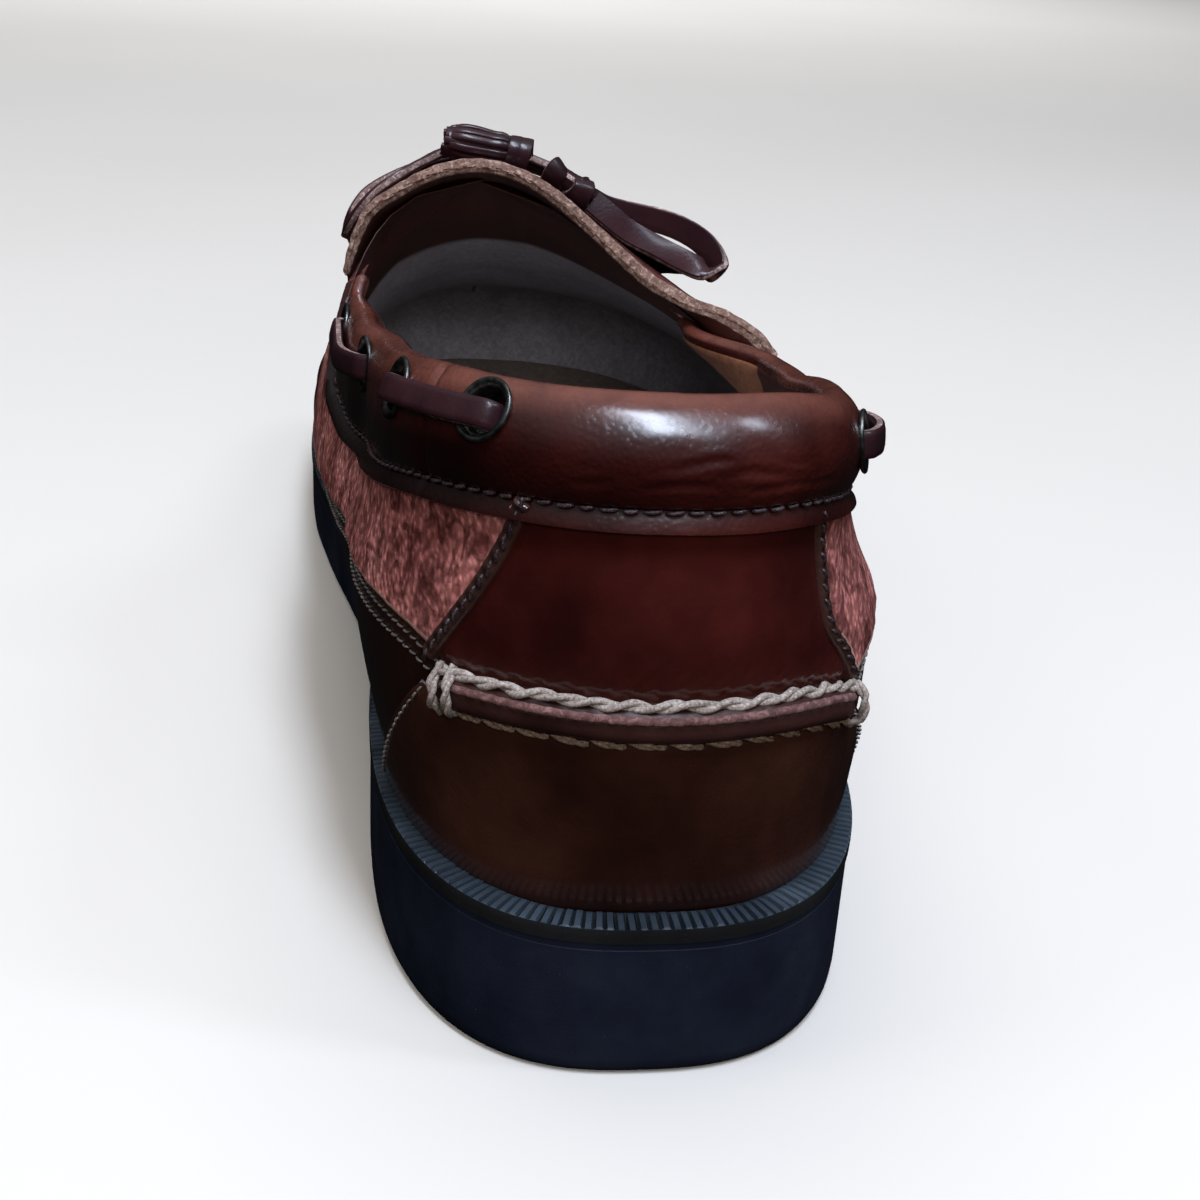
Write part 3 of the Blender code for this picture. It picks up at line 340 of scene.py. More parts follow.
def runs(p, axis=0):
    """Distance along a line of points, or along one axis of a grid of them."""
    return np.cumsum(np.linalg.norm(np.diff(p, axis=axis, prepend=np.take(p, [0], axis)), axis=-1), axis)


def even(line, count=None, step=None, space=None):
    """The line resampled to evenly spaced points; space gives the points whose distances count."""
    far = runs(line if space is None else space)
    if count is None:
        count = max(int(round(far[-1] / step)) + 1, 2)
    at = np.linspace(0, far[-1], count)
    return np.stack([np.interp(at, far, column) for column in line.T], -1)


def even_strap(points, normals, steps, step):
    """A smooth line through points, at even steps, with its unit normals."""
    line = smooth(points, steps)
    both = even(np.hstack([line, smooth(normals, steps)]), step=step, space=line)
    return both[:, :3], unit(both[:, 3:])


def wall_line(uts, step):
    """Points at even steps of a smooth line on the wall, with their normals and upward tangents."""
    line = smooth(uts, 8)
    return wall_frame(*even(line, step=step, space=wall(*line.T)).T)


def edge(uts):
    """A function giving (u, t) at a share of the way along a smooth line on the wall."""
    line = smooth(uts, 10)
    far = runs(wall(*line.T))

    def at(share):
        return np.stack([np.interp(share * far[-1], far, column) for column in line.T], -1)

    at.length = far[-1]
    return at


def spacing(length, step, fine=(0.0, 0.12, 0.32, 0.6, 1.0, 1.5)):
    """Shares of the way along a length, closer together at both ends."""
    ends = np.array(fine) / length
    middle = np.linspace(ends[-1], 1 - ends[-1], max(int(length / step), 3))[1:-1]
    return np.concatenate([ends, middle, 1 - ends[::-1]])


def patch(bottom, top, left, right, step, rise, by_top=False):
    """(u, t) over a patch between four lines on the wall."""
    bottom, top, left, right = edge(bottom), edge(top), edge(left), edge(right)
    a, b = spacing((top if by_top else bottom).length, step), spacing(left.length, rise)
    lo, hi, le, ri = bottom(a)[:, None], top(a)[:, None], left(b)[None], right(b)[None]
    a, b = a[:, None, None], b[None, :, None]
    corners = (1 - a) * (1 - b) * lo[0, 0] + a * (1 - b) * lo[-1, 0] + (1 - a) * b * hi[0, 0] + a * b * hi[-1, 0]
    return (1 - b) * lo + b * hi + (1 - a) * le + a * ri - corners


# ---------------------------------------------------------------- looks
class Look:
    """A procedural material; patterns are in metres on the object."""

    def __init__(self, name, colour, roughness, **sockets):
        self.made = bpy.data.materials.new(name)
        self.made.use_nodes = True
        self.made.diffuse_color = (*colour, 1)
        self.tree = self.made.node_tree
        self.shader = self.tree.nodes["Principled BSDF"]
        self.put("Base Color", (*colour, 1))
        self.put("Roughness", roughness)
        for socket, value in sockets.items():
            self.put(socket.replace("_", " "), value)
        self.space = self.tree.nodes.new("ShaderNodeTexCoord").outputs["Object"]
        self.normal = None

    def put(self, socket, value):
        if isinstance(value, bpy.types.NodeSocket):
            self.tree.links.new(value, self.shader.inputs[socket])
        else:
            self.shader.inputs[socket].default_value = value

    def node(self, kind, inputs=(), **settings):
        made = self.tree.nodes.new(kind)
        for key, value in settings.items():
            setattr(made, key, value)
        for key, value in dict(inputs).items():
            if isinstance(value, bpy.types.NodeSocket):
                self.tree.links.new(value, made.inputs[key])
            else:
                made.inputs[key].default_value = value
        return made

    def stretched(self, x, y, z):
        return self.node("ShaderNodeMapping", {"Vector": self.space, "Scale": (x, y, z)}).outputs[0]

    def noise(self, scale, detail, rough=0.55, space=None, distortion=0.0):
        return self.node("ShaderNodeTexNoise", {
            "Vector": space or self.space, "Scale": scale, "Detail": detail, "Roughness": rough,
            "Distortion": distortion}).outputs["Fac"]

    def cells(self, scale, space=None):
        return self.node("ShaderNodeTexVoronoi", {"Vector": space or self.space, "Scale": scale},
                         feature="SMOOTH_F1").outputs["Distance"]

    def attribute(self, name):
        return self.node("ShaderNodeAttribute", attribute_name=name).outputs["Fac"]

    def span(self, value, low, high, to_low=0.0, to_high=1.0):
        return self.node("ShaderNodeMapRange", {
            "Value": value, "From Min": low, "From Max": high, "To Min": to_low, "To Max": to_high}).outputs[0]

    def ramp(self, value, *stops):
        made = self.node("ShaderNodeValToRGB", {"Fac": value})
        elements = made.color_ramp.elements
        while len(elements) < len(stops):
            elements.new(0.5)
        for element, (place, colour) in zip(elements, stops):
            element.position, element.color = place, (*colour, 1)
        return made.outputs["Color"]

    def mix(self, share, a, b, blend="MIX"):
        made = self.node("ShaderNodeMix", data_type="RGBA", blend_type=blend)
        for socket, value in ((made.inputs[0], share), (made.inputs[6], a), (made.inputs[7], b)):
            if isinstance(value, bpy.types.NodeSocket):
                self.tree.links.new(value, socket)
            else:
                socket.default_value = value if isinstance(value, float) else (*value, 1)
        return made.outputs[2]

    def tint(self, share, colour, value, *stops):
        """A colour multiplied by a ramp over a pattern."""
        return self.mix(share, colour, self.ramp(value, *stops), "MULTIPLY")

    def darkened(self, colour, dark):
        """A colour that the shade mark darkens."""
        return self.mix(self.span(self.attribute("shade"), 0.0, 1.0), colour, tuple(0.25 * c for c in dark))

    def bump(self, height, depth_mm):
        inputs = {"Height": height, "Distance": depth_mm * MM, "Strength": 1.0}
        if self.normal is not None:
            inputs["Normal"] = self.normal
        self.normal = self.node("ShaderNodeBump", inputs).outputs[0]
        self.put("Normal", self.normal)


def leather(name, dark, base, light, rough, pore=1700.0, grain=0.030, wrinkle=0.05, rubbed_and_lit=None, **sockets):
    """Smooth leather. One mark kept at its points lightens it in patches: partly rubbed wear, partly a painted
    highlight on edges and lips. The shade mark darkens it with painted shade.
    """
    k = Look(name, base, rough, **sockets)
    colour = k.ramp(k.noise(38.0, 3), (0.32, dark), (0.5, base), (0.72, light))
    colour = k.tint(0.7, colour, k.noise(420.0, 4, 0.6), (0.35, (0.90, 0.88, 0.88)), (0.62, (1.08, 1.06, 1.06)))
    # lighter where the mark is set: partly rubbed wear, partly painted highlight
    if rubbed_and_lit is not None:
        patchiness = k.mix(k.noise(160.0, 5, 0.7), (0, 0, 0), (1, 1, 1))
        share = k.mix(1.0, k.attribute("wear_and_highlight"), k.span(patchiness, 0.25, 0.6, 0.35, 1.0), "MULTIPLY")
        colour = k.mix(share, colour, rubbed_and_lit)
    k.put("Base Color", k.darkened(colour, dark))
    k.put("Roughness", k.span(k.noise(230.0, 5, 0.65), 0.3, 0.7, rough - 0.07, rough + 0.13))
    k.bump(k.noise(70.0, 3, 0.5), wrinkle * 2)
    k.bump(k.noise(620.0, 2, 0.5), wrinkle * 0.8)
    k.bump(k.cells(pore), grain)
    return k


GLOSSY = {"Coat_Weight": 0.85, "Coat_Roughness": 0.17, "Specular_IOR_Level": 0.12}
POLISHED = {"Coat_Weight": 1.0, "Coat_Roughness": 0.23, "Specular_IOR_Level": 0.12}
# The lighter colour given to each leather shows where its mark is set: partly rubbed wear, partly painted highlight on
# edges and lips.
oxblood = leather("oxblood", (0.017, 0.0026, 0.0024), (0.036, 0.0058, 0.0050), (0.064, 0.0110, 0.0085), 0.30,
                  rubbed_and_lit=(0.125, 0.034, 0.022), **GLOSSY)
collar_look = leather("collar_oxblood", (0.011, 0.0017, 0.0014), (0.025, 0.0040, 0.0032), (0.052, 0.0092, 0.0070),
                      0.27, pore=1400.0, grain=0.12, wrinkle=0.08, rubbed_and_lit=(0.140, 0.042, 0.028), **POLISHED)
wrap_look = leather("wrap_brown", (0.016, 0.0052, 0.0034), (0.031, 0.0105, 0.0070), (0.052, 0.0190, 0.0115), 0.27,
                    rubbed_and_lit=(0.080, 0.028, 0.016), **GLOSSY)
dark_look = leather("dark_smooth", (0.0050, 0.0022, 0.0023), (0.0090, 0.0040, 0.0040), (0.017, 0.0075, 0.0070), 0.34,
                    rubbed_and_lit=(0.060, 0.028, 0.022), **GLOSSY)


def pebbled(name, dark, base, light):
    """Milled leather: small soft pebbles, drawn out into upright wrinkles."""
    k = Look(name, base, 0.62, Specular_IOR_Level=0.25)
    pebble = k.cells(980.0, space=k.stretched(1.0, 1.0, 0.80))
    creases = k.noise(240.0, 4, 0.62, space=k.stretched(1.2, 1.2, 0.85), distortion=1.0)
    folds = k.noise(130.0, 3, 0.55, space=k.stretched(1.5, 1.5, 0.40), distortion=0.8)
    colour = k.ramp(k.noise(60.0, 4), (0.3, dark), (0.5, base), (0.7, light))
    # The ramps over the pebbles, creases and folds paint highlights on their tops and shade in their hollows and
    # troughs.
    colour = k.tint(0.9, colour, pebble, (0.08, (1.35, 1.33, 1.32)), (0.30, (1.0, 1.0, 1.0)),
                    (0.52, (0.50, 0.43, 0.42)))
    colour = k.tint(0.9, colour, creases, (0.40, (0.42, 0.34, 0.33)), (0.50, (1.0, 1.0, 1.0)),
                    (0.64, (1.40, 1.38, 1.38)))
    colour = k.tint(0.6, colour, folds, (0.36, (0.55, 0.48, 0.47)), (0.6, (1.25, 1.2, 1.2)))
    k.put("Base Color", k.darkened(colour, dark))
    k.put("Roughness", k.span(pebble, 0.1, 0.5, 0.5, 0.75))
    k.bump(folds, 0.5)
    k.bump(creases, 0.35)
    k.bump(k.span(pebble, 0.1, 0.55, 1.0, 0.0), 0.16)
    return k


quarter_look = pebbled("pebbled_leather", (0.205, 0.068, 0.062), (0.400, 0.152, 0.138), (0.590, 0.275, 0.255))


def fibrous(name, dark, base, light, rough=0.9, scale=900.0, depth=0.12, marked_colour=None, **sockets):
    """Cut leather, suede and lining: short fibres and pale flecks. Its shade mark blends it into a second colour of its
    own, such as the brown of the leather beside the lining.
    """
    k = Look(name, base, rough, **sockets)
    fibre = k.noise(scale, 5, 0.75, distortion=0.8)
    colour = k.ramp(fibre, (0.3, dark), (0.5, base), (0.68, light))
    if marked_colour:
        colour = k.mix(k.span(k.attribute("shade"), 0.3, 0.7), colour, marked_colour)
    k.put("Base Color", k.tint(0.5, colour, k.noise(70.0, 4), (0.3, (0.65, 0.6, 0.6)), (0.7, (1.2, 1.2, 1.2))))
    k.bump(fibre, depth)
    return k


raw_pale = fibrous("raw_edge_pale", (0.20, 0.095, 0.075), (0.36, 0.20, 0.165), (0.52, 0.33, 0.28))
raw_tan = fibrous("raw_edge_tan", (0.050, 0.023, 0.016), (0.150, 0.083, 0.063), (0.40, 0.28, 0.23), depth=0.30)
raw_dark = fibrous("raw_edge_dark", (0.012, 0.005, 0.004), (0.028, 0.012, 0.010), (0.06, 0.03, 0.025))
raw_pink = fibrous("raw_edge_pink", (0.055, 0.022, 0.020), (0.120, 0.055, 0.050), (0.25, 0.135, 0.130))
ridge_look = leather("ridge_brown", (0.020, 0.0075, 0.0062), (0.038, 0.0150, 0.0130), (0.066, 0.0280, 0.0250), 0.45,
                     Coat_Weight=0.2, Coat_Roughness=0.35, Specular_IOR_Level=0.15)
under_look = fibrous("tongue_underside", (0.030, 0.0080, 0.0055), (0.052, 0.0145, 0.0100), (0.076, 0.023, 0.015), 0.6)
# The grey lining cloth, made paler than the real cloth so that the dim inside of the shoe shows: partly painted light.
GREY_CLOTH_WITH_PAINTED_LIGHT = ((0.24, 0.230, 0.260), (0.36, 0.345, 0.390), (0.48, 0.465, 0.510), 0.72, 700.0)
lining_look = fibrous("lining", *GREY_CLOTH_WITH_PAINTED_LIGHT)
sock_look = fibrous("collar_lining_tan", (0.16, 0.062, 0.030), (0.27, 0.115, 0.060), (0.36, 0.17, 0.095), 0.6,
                    700.0, 0.06)
inside_look = fibrous("inside_lining", *GREY_CLOTH_WITH_PAINTED_LIGHT, marked_colour=(0.052, 0.0145, 0.0100))
insole_look = fibrous("insole", (0.17, 0.135, 0.115), (0.28, 0.235, 0.205), (0.38, 0.325, 0.290), 0.6, 600.0, 0.06)


def rubber(name, dark, base, light, rough):
    k = Look(name, base, rough, Specular_IOR_Level=0.22)
    colour = k.ramp(k.noise(55.0, 4), (0.3, dark), (0.5, base), (0.72, light))
    dust = k.span(k.noise(2600.0, 3, 0.7), 0.68, 0.78)
    colour = k.mix(k.mix(1.0, dust, (0.35, 0.35, 0.35), "MULTIPLY"), colour, (0.20, 0.20, 0.21))
    k.put("Base Color", colour)
    k.put("Roughness", k.span(k.noise(300.0, 4), 0.3, 0.7, rough - 0.1, rough + 0.1))
    k.bump(k.noise(1800.0, 4, 0.7), 0.03)
    k.bump(k.noise(120.0, 3), 0.10)
    return k


sole_look = rubber("sole_rubber_navy", (0.0058, 0.0076, 0.0150), (0.0098, 0.0125, 0.0235),
                   (0.0160, 0.0200, 0.0330), 0.60)
welt_look = rubber("welt_rubber_blue_grey", (0.014, 0.019, 0.027), (0.027, 0.037, 0.050),
                   (0.055, 0.072, 0.092), 0.42)
band_look = rubber("welt_band_dark", (0.0072, 0.0072, 0.0078), (0.0110, 0.0110, 0.0115),
                   (0.0165, 0.0165, 0.0170), 0.45)
# Near-black rubber for the faces down in the gaps between the welt's ribs: painted shade.
rib_gap_shade_look = rubber("welt_gap_painted_shade", (0.0022, 0.0028, 0.0036), (0.0036, 0.0046, 0.0060), (0.006, 0.008, 0.010), 0.7)


def metal_look():
    k = Look("antique_brass", (0.16, 0.14, 0.11), 0.33, Metallic=0.95)
    k.put("Base Color", k.ramp(k.noise(500.0, 4), (0.35, (0.030, 0.031, 0.030)), (0.5, (0.075, 0.078, 0.074)),
                               (0.7, (0.20, 0.20, 0.185))))
    k.put("Roughness", k.span(k.noise(900.0, 4), 0.3, 0.7, 0.22, 0.48))
    k.bump(k.noise(1300.0, 3), 0.02)
    return k


brass_look = metal_look()


def yarn(name, dark, base, light, rough=0.7):
    """Thread and waxed cord."""
    k = Look(name, base, rough)
    fibre = k.noise(2600.0, 4, 0.7)
    colour = k.ramp(fibre, (0.3, dark), (0.5, base), (0.7, light))
    colour = k.tint(0.6, colour, k.noise(130.0, 3), (0.3, (0.62, 0.58, 0.52)), (0.65, (1.12, 1.12, 1.12)))
    k.put("Base Color", colour)
    k.bump(fibre, 0.09)
    return k


cord_look = yarn("waxed_cord_beige", (0.10, 0.072, 0.060), (0.28, 0.23, 0.205), (0.52, 0.475, 0.45))
# A darker, tanner copy of the cord for the lower row tucked under the heel ridge: partly the cord's tan, partly painted
# shade.
cord_tan_shaded_look = yarn("waxed_cord_shaded", (0.060, 0.038, 0.026), (0.155, 0.105, 0.075), (0.30, 0.22, 0.16))
thread_dark = yarn("thread_dark", (0.010, 0.006, 0.007), (0.026, 0.016, 0.018), (0.11, 0.085, 0.090), 0.45)
thread_mid = yarn("thread_mauve", (0.016, 0.009, 0.011), (0.038, 0.024, 0.028), (0.11, 0.085, 0.095), 0.42)
thread_pale = yarn("thread_grey", (0.080, 0.072, 0.070), (0.17, 0.155, 0.150), (0.32, 0.30, 0.29))
lace_look = leather("lace_oxblood", (0.0100, 0.0036, 0.0050), (0.0190, 0.0066, 0.0090), (0.040, 0.0140, 0.0170), 0.34,
                    pore=2000.0, rubbed_and_lit=(0.10, 0.055, 0.055), Coat_Weight=0.25, Coat_Roughness=0.2,
                    Specular_IOR_Level=0.2)
lace_edge_look = fibrous("lace_cut_edge", (0.050, 0.028, 0.026), (0.15, 0.095, 0.085), (0.52, 0.41, 0.38), depth=0.2)


# ---------------------------------------------------------------- meshes
SOLE_SLOT, WELT_SLOT, INSOLE_SLOT = "sole_rubber", "welt_rubber", "insole_leather"
UPPER_SLOT, COLLAR_SLOT, TONGUE_SLOT = "oxblood_leather", "collar_leather", "tongue_leather"
KILTIE_SLOT, LACE_SLOT, BRASS_SLOT = "kiltie_leather", "lace_leather", "eyelet_brass"


def placed(points):
    """Points in metres in the frame, from millimetres in the shoe's own."""
    return (np.asarray(points, float).reshape(-1, 3) + SHIFT) * MM


def grid_faces(n, m, wrap=False):
    """Quads over an n by m grid, optionally joined from its last row to its first."""
    i, j = np.meshgrid(np.arange(n if wrap else n - 1), np.arange(m - 1), indexing="ij")
    k = (i + 1) % n
    return np.stack([i * m + j, k * m + j, k * m + j + 1, i * m + j + 1], -1).reshape(-1, 4)


def tube_faces(n, k, wrap=False, flip=False):
    """Quads over n closed rings of k points, optionally joined from the last ring to the first."""
    i, j = np.meshgrid(np.arange(n if wrap else n - 1), np.arange(k), indexing="ij")
    a, b = (i + 1) % n, (j + 1) % k
    faces = np.stack([i * k + j, i * k + b, a * k + b, a * k + j], -1).reshape(-1, 4)
    return faces[:, [0, 3, 2, 1]] if flip else faces


def cleaned(mesh, merge, outward):
    """Merges points closer than merge millimetres, and turns the faces outward."""
    work = bmesh.new()
    work.from_mesh(mesh)
    if merge:
        bmesh.ops.remove_doubles(work, verts=work.verts, dist=merge * MM)
    if outward:
        bmesh.ops.recalc_face_normals(work, faces=work.faces)
    work.to_mesh(mesh)
    work.free()


def mesh_piece(name, points, faces, looks, slot, nodes, kinds=None, sharp=40.0, marks=None, merge=0.004,
               outward=True):
    """A finished piece. kinds gives each face's material; marks are numbers kept at each point."""
    mesh = bpy.data.meshes.new(name)
    mesh.from_pydata(placed(points).tolist(), [], [tuple(f) for f in faces])
    for one in looks:
        mesh.materials.append(one.made)
    if kinds is not None:
        mesh.polygons.foreach_set("material_index", np.asarray(kinds, np.int32))
    for key, values in (marks or {}).items():
        made = mesh.attributes.new(key, "FLOAT", "POINT")
        made.data.foreach_set("value", np.asarray(values, np.float32).ravel())
    if merge or outward:
        cleaned(mesh, merge, outward)
    mesh.shade_smooth()
    if sharp:
        mesh.set_sharp_from_angle(angle=math.radians(sharp))
    made = bpy.data.objects.new(name, mesh)
    bpy.context.scene.collection.objects.link(made)
    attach(made, "root")
    if nodes:
        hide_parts(*nodes)
    return made


def cordage(name, points, faces, look, nodes, slot=UPPER_SLOT):
    """A piece of thread or cord."""
    return mesh_piece(name, points, faces, [look], slot, nodes, sharp=None, merge=0, outward=False)


def closed_sheet(top, bottom, keep=None, rim=0):
    """Points, faces and kinds of a sheet with a top, an edge and an underside (kinds 0, 1, 2).

    rim counts the rings of top faces that look like the edge.
    """
    n, m = top.shape[:2]
    faces = grid_faces(n, m)
    i, j = np.divmod(faces[:, 0], m)
    near = np.minimum(np.minimum(i, n - 2 - i), np.minimum(j, m - 2 - j))
    kinds = np.where(near < rim, 1, 0)
    if keep is not None:
        kept = keep[i, j]
        faces, kinds = faces[kept], kinds[kept]
    points = np.concatenate([top.reshape(-1, 3), bottom.reshape(-1, 3)])
    key = np.round(top.reshape(-1, 3) / 0.01).astype(np.int64)
    _, first, back = np.unique(key, axis=0, return_index=True, return_inverse=True)
    same = first[back.ravel()]
    joined = same[faces]
    ends = np.stack([joined, np.roll(joined, -1, axis=1)], -1).reshape(-1, 2)
    real = np.stack([faces, np.roll(faces, -1, axis=1)], -1).reshape(-1, 2)
    whole = ends[:, 0] != ends[:, 1]
    ends, real = ends[whole], real[whole]
    code = ends[:, 0] * (n * m) + ends[:, 1]
    reverse = ends[:, 1] * (n * m) + ends[:, 0]
    border = real[~np.isin(code, reverse)]
    walls = np.stack([border[:, 1], border[:, 0], border[:, 0] + n * m, border[:, 1] + n * m], 1)
    faces_all = np.concatenate([faces, faces[:, ::-1] + n * m, walls])
    kinds_all = np.concatenate([kinds, np.full(len(faces), 2), np.full(len(walls), 1)])
    used, index = np.unique(faces_all, return_inverse=True)
    return points[used], index.reshape(faces_all.shape), kinds_all, used


def edge_distance(p):
    """Millimetres from each point of a grid to its first and last rows, and to its first and last columns."""
    rows, cols = runs(p, 0), runs(p, 1)
    return rows, rows[-1:] - rows, cols, cols[:, -1:] - cols


def rounded(distance, radius):
    """How far a rounded edge has fallen at a distance from it."""
    d = np.clip(distance, 0, radius)
    return radius - np.sqrt(np.maximum(radius**2 - (radius - d) ** 2, 0))


def wander(s, seed, wave):
    """A slow irregular wave of size one."""
    r = np.random.default_rng(seed)
    total = np.zeros_like(np.asarray(s, float))
    for _ in range(5):
        total = total + np.sin(2 * np.pi * s / (wave * r.uniform(0.6, 1.7)) + r.uniform(0, 6.3))
    return total / 5


def creased(p, creases):
    """Height of soft creases: each a trough with a low ridge beside it, fading at both ends."""
    lift = np.zeros(p.shape[:-1])
    flat = p.reshape(-1, 3)
    for line, width, depth in creases:
        line = smooth(line, 5)
        best = np.full(len(flat), 1e9)
        share = np.zeros(len(flat))
        side = np.zeros(len(flat))
        for k in range(len(line) - 1):
            a, b = line[k], line[k + 1]
            along = clipped(((flat - a) @ (b - a)) / max((b - a) @ (b - a), 1e-9))
            away = flat - (a + along[:, None] * (b - a))
            d = np.linalg.norm(away, axis=1)
            nearer = d < best
            best = np.where(nearer, d, best)
            share = np.where(nearer, (k + along) / (len(line) - 1), share)
            side = np.where(nearer, away[:, 2], side)
        fade = np.sqrt(clipped(np.sin(np.pi * clipped(share))))
        trough = -bell(best, width)
        ridge = 0.5 * np.exp(-((best - 1.9 * width) / (1.1 * width)) ** 2)
        lift = lift + (depth * fade * (trough + ridge)).reshape(lift.shape)
    return lift


def panel(name, ut, looks, lift=0.35, thick=1.0, *, relief, radius=0.5, rim=0, wear_and_highlight=None):
    """A sheet of the upper's leather on the last, over a grid of (u, t)."""
    p, normal, _ = wall_frame(ut[..., 0], ut[..., 1])
    near = edge_distance(p)
    d = np.minimum.reduce(near)
    height = lift - rounded(d, radius) + relief(near)
    top = p + height[..., None] * normal
    bottom = p + (lift - thick) * normal
    points, faces, kinds, used = closed_sheet(top, bottom, rim=rim)
    # By default lighter towards the sheet's edges: partly rubbed wear, partly painted highlight on the rounded edges.
    rubbed_and_lit = np.exp(-d / 1.1) if wear_and_highlight is None else wear_and_highlight(near)
    return mesh_piece(name, points, faces, looks, UPPER_SLOT, ["upper"], kinds,
                      marks={"wear_and_highlight": np.concatenate([rubbed_and_lit.ravel()] * 2)[used]})


def sweep(line, normals, section, scale=None, twist=None):
    """Points and faces of a section carried along a line. section rows are (across, up)."""
    along = unit(np.gradient(line, axis=0))
    side = unit(np.cross(normals, along))
    up = unit(np.cross(along, side))
    if twist is not None:
        c, s = np.cos(twist)[:, None], np.sin(twist)[:, None]
        side, up = c * side + s * up, c * up - s * side
    section = np.asarray(section, float)
    size = np.ones(len(line)) if scale is None else scale
    points = (line[:, None] + size[:, None, None] * (section[None, :, :1] * side[:, None]
                                                     + section[None, :, 1:] * up[:, None]))
    n, k = points.shape[:2]
    faces = tube_faces(n, k).tolist() + [list(range(k))[::-1], list(range((n - 1) * k, n * k))]
    return points.reshape(-1, 3), faces


def ring(radius, count, squash=1.0):
    a = 2 * np.pi * np.arange(count) / count
    return np.stack([radius * np.cos(a), radius * squash * np.sin(a)], 1)


def strap_section(width, thick, radius=0.35, crown=0.12):
    """A flat lace: rounded corners and slightly crowned faces. The first half of its points is its top."""
    w, h = width / 2, thick / 2
    half = [(0, h + crown), (w * 0.55, h + crown * 0.7), (w - radius * 0.5, h - radius * 0.15), (w, h - radius)]
    top = [(-x, y) for x, y in half[:0:-1]] + half
    return np.array(top + [(-x, -y) for x, y in top])[::-1]


def joined(parts):
    """Several (points, faces) as one."""
    points, faces, first = [], [], 0
    for p, f in parts:
        points.append(p)
        faces += [[first + v for v in face] for face in f]
        first += len(p)
    return np.concatenate(points), faces


def scatter(template, faces, origins, along, normals, sizes):
    """Copies of a small mesh, its x along, its z outward."""
    along, normals = unit(along), unit(normals)
    side = unit(np.cross(normals, along))
    up = np.cross(along, side)
    body = template[None] * sizes[:, None]
    points = (origins[:, None] + body[..., :1] * along[:, None] + body[..., 1:2] * side[:, None]
              + body[..., 2:] * up[:, None])
    offsets = np.arange(len(origins)) * len(template)
    out = []
    for face in faces:
        out += (np.asarray(face)[None] + offsets[:, None]).tolist()
    return points.reshape(-1, 3), out


def rope_bit(length, slant, rise, radius, turns, plies=2, rings=13, sides=7, offset=0.5):
    """One stitch of twisted cord along x: it leans across and dives into the leather at both ends."""
    parts = []
    for ply in range(plies):
        s = np.linspace(-0.5, 0.5, rings)
        phase = 2 * np.pi * (turns * s + ply / plies)
        swell = offset * radius * 1.9 * np.sqrt(np.maximum(1 - (2 * s) ** 4, 0.15)) if plies > 1 else 0 * s
        line = np.stack([
            s * length, slant * np.sin(np.pi * s) + swell * np.cos(phase),
            rise * (1 - (2 * np.abs(s)) ** 2.4) + swell * np.sin(phase) * 0.8,
        ], 1)
        scale = 0.6 + 0.4 * np.sqrt(np.maximum(1 - (2 * s) ** 4, 0))
        parts.append(sweep(line, np.tile([0, 0, 1.0], (rings, 1)), ring(radius, sides), scale))
    return joined(parts)


def row_of(name, uts, pitch, stitch, look, nodes, lift, jitter, turn=0.0, slot=UPPER_SLOT):
    """A row of stitches along a line on the wall."""
    p, normal, _ = wall_line(uts, pitch)
    along = unit(np.gradient(p, axis=0))
    along = along + turn * unit(np.cross(normal, along))
    count = len(p)
    sizes = 1 + jitter * rng.uniform(-1, 1, (count, 3))
    along = unit(along) + jitter * 0.5 * rng.uniform(-1, 1, (count, 1)) * unit(np.cross(normal, along))
    origins = p + (lift + jitter * 0.3 * rng.uniform(-1, 1, (count, 1))) * normal
    return cordage(name, *scatter(*stitch, origins, along, normal, sizes), look, nodes, slot)


STITCH = rope_bit(2.15, 0.12, 0.28, 0.30, 1.2, plies=1, rings=6, sides=6)
COLLAR_STITCH = rope_bit(2.1, 0.08, 0.30, 0.30, 1.2, plies=1, rings=7, sides=7)
SMALL_STITCH = rope_bit(1.55, 0.08, 0.22, 0.21, 1.2, plies=1, rings=6, sides=6)
# ---------------------------------------------------------------- floor and light
floor_look = Look("floor", (0.56, 0.530, 0.495), 0.85)
floor_look.put("Base Color", floor_look.ramp(floor_look.noise(2.0, 2), (0.3, (0.55, 0.520, 0.485)),
                                             (0.7, (0.58, 0.548, 0.512))))
floor_mesh = bpy.data.meshes.new("floor")
floor_mesh.from_pydata([(-6, -5, 0), (6, -5, 0), (6, 9, 0), (-6, 9, 0)], [], [(0, 1, 2, 3)])
floor_mesh.materials.append(floor_look.made)
floor = bpy.data.objects.new("floor", floor_mesh)
bpy.context.scene.collection.objects.link(floor)
floor.visible_glossy = False  # the leather mirrors the dark of the room, not the pale floor
floor.visible_diffuse = False  # and its lower parts stay dark
bpy.context.scene.view_settings.view_transform = "Standard"

world = bpy.data.worlds.new("studio")  # bright overhead, dark at the horizon
world.use_nodes = True
sky = world.node_tree
ray = sky.nodes.new("ShaderNodeTexCoord").outputs["Generated"]
parts_of = sky.nodes.new("ShaderNodeSeparateXYZ")
sky.links.new(ray, parts_of.inputs[0])
dome = sky.nodes.new("ShaderNodeValToRGB")
sky.links.new(parts_of.outputs["Z"], dome.inputs["Fac"])
for k, (place, bright) in enumerate(((0.0, 0.006), (0.12, 0.016), (0.45, 0.09), (0.85, 0.40))):
    element = dome.color_ramp.elements[k] if k < 2 else dome.color_ramp.elements.new(place)
    element.position, element.color = place, (0.95 * bright, 0.97 * bright, bright, 1)
sky.links.new(dome.outputs["Color"], sky.nodes["Background"].inputs["Color"])
bpy.context.scene.world = world


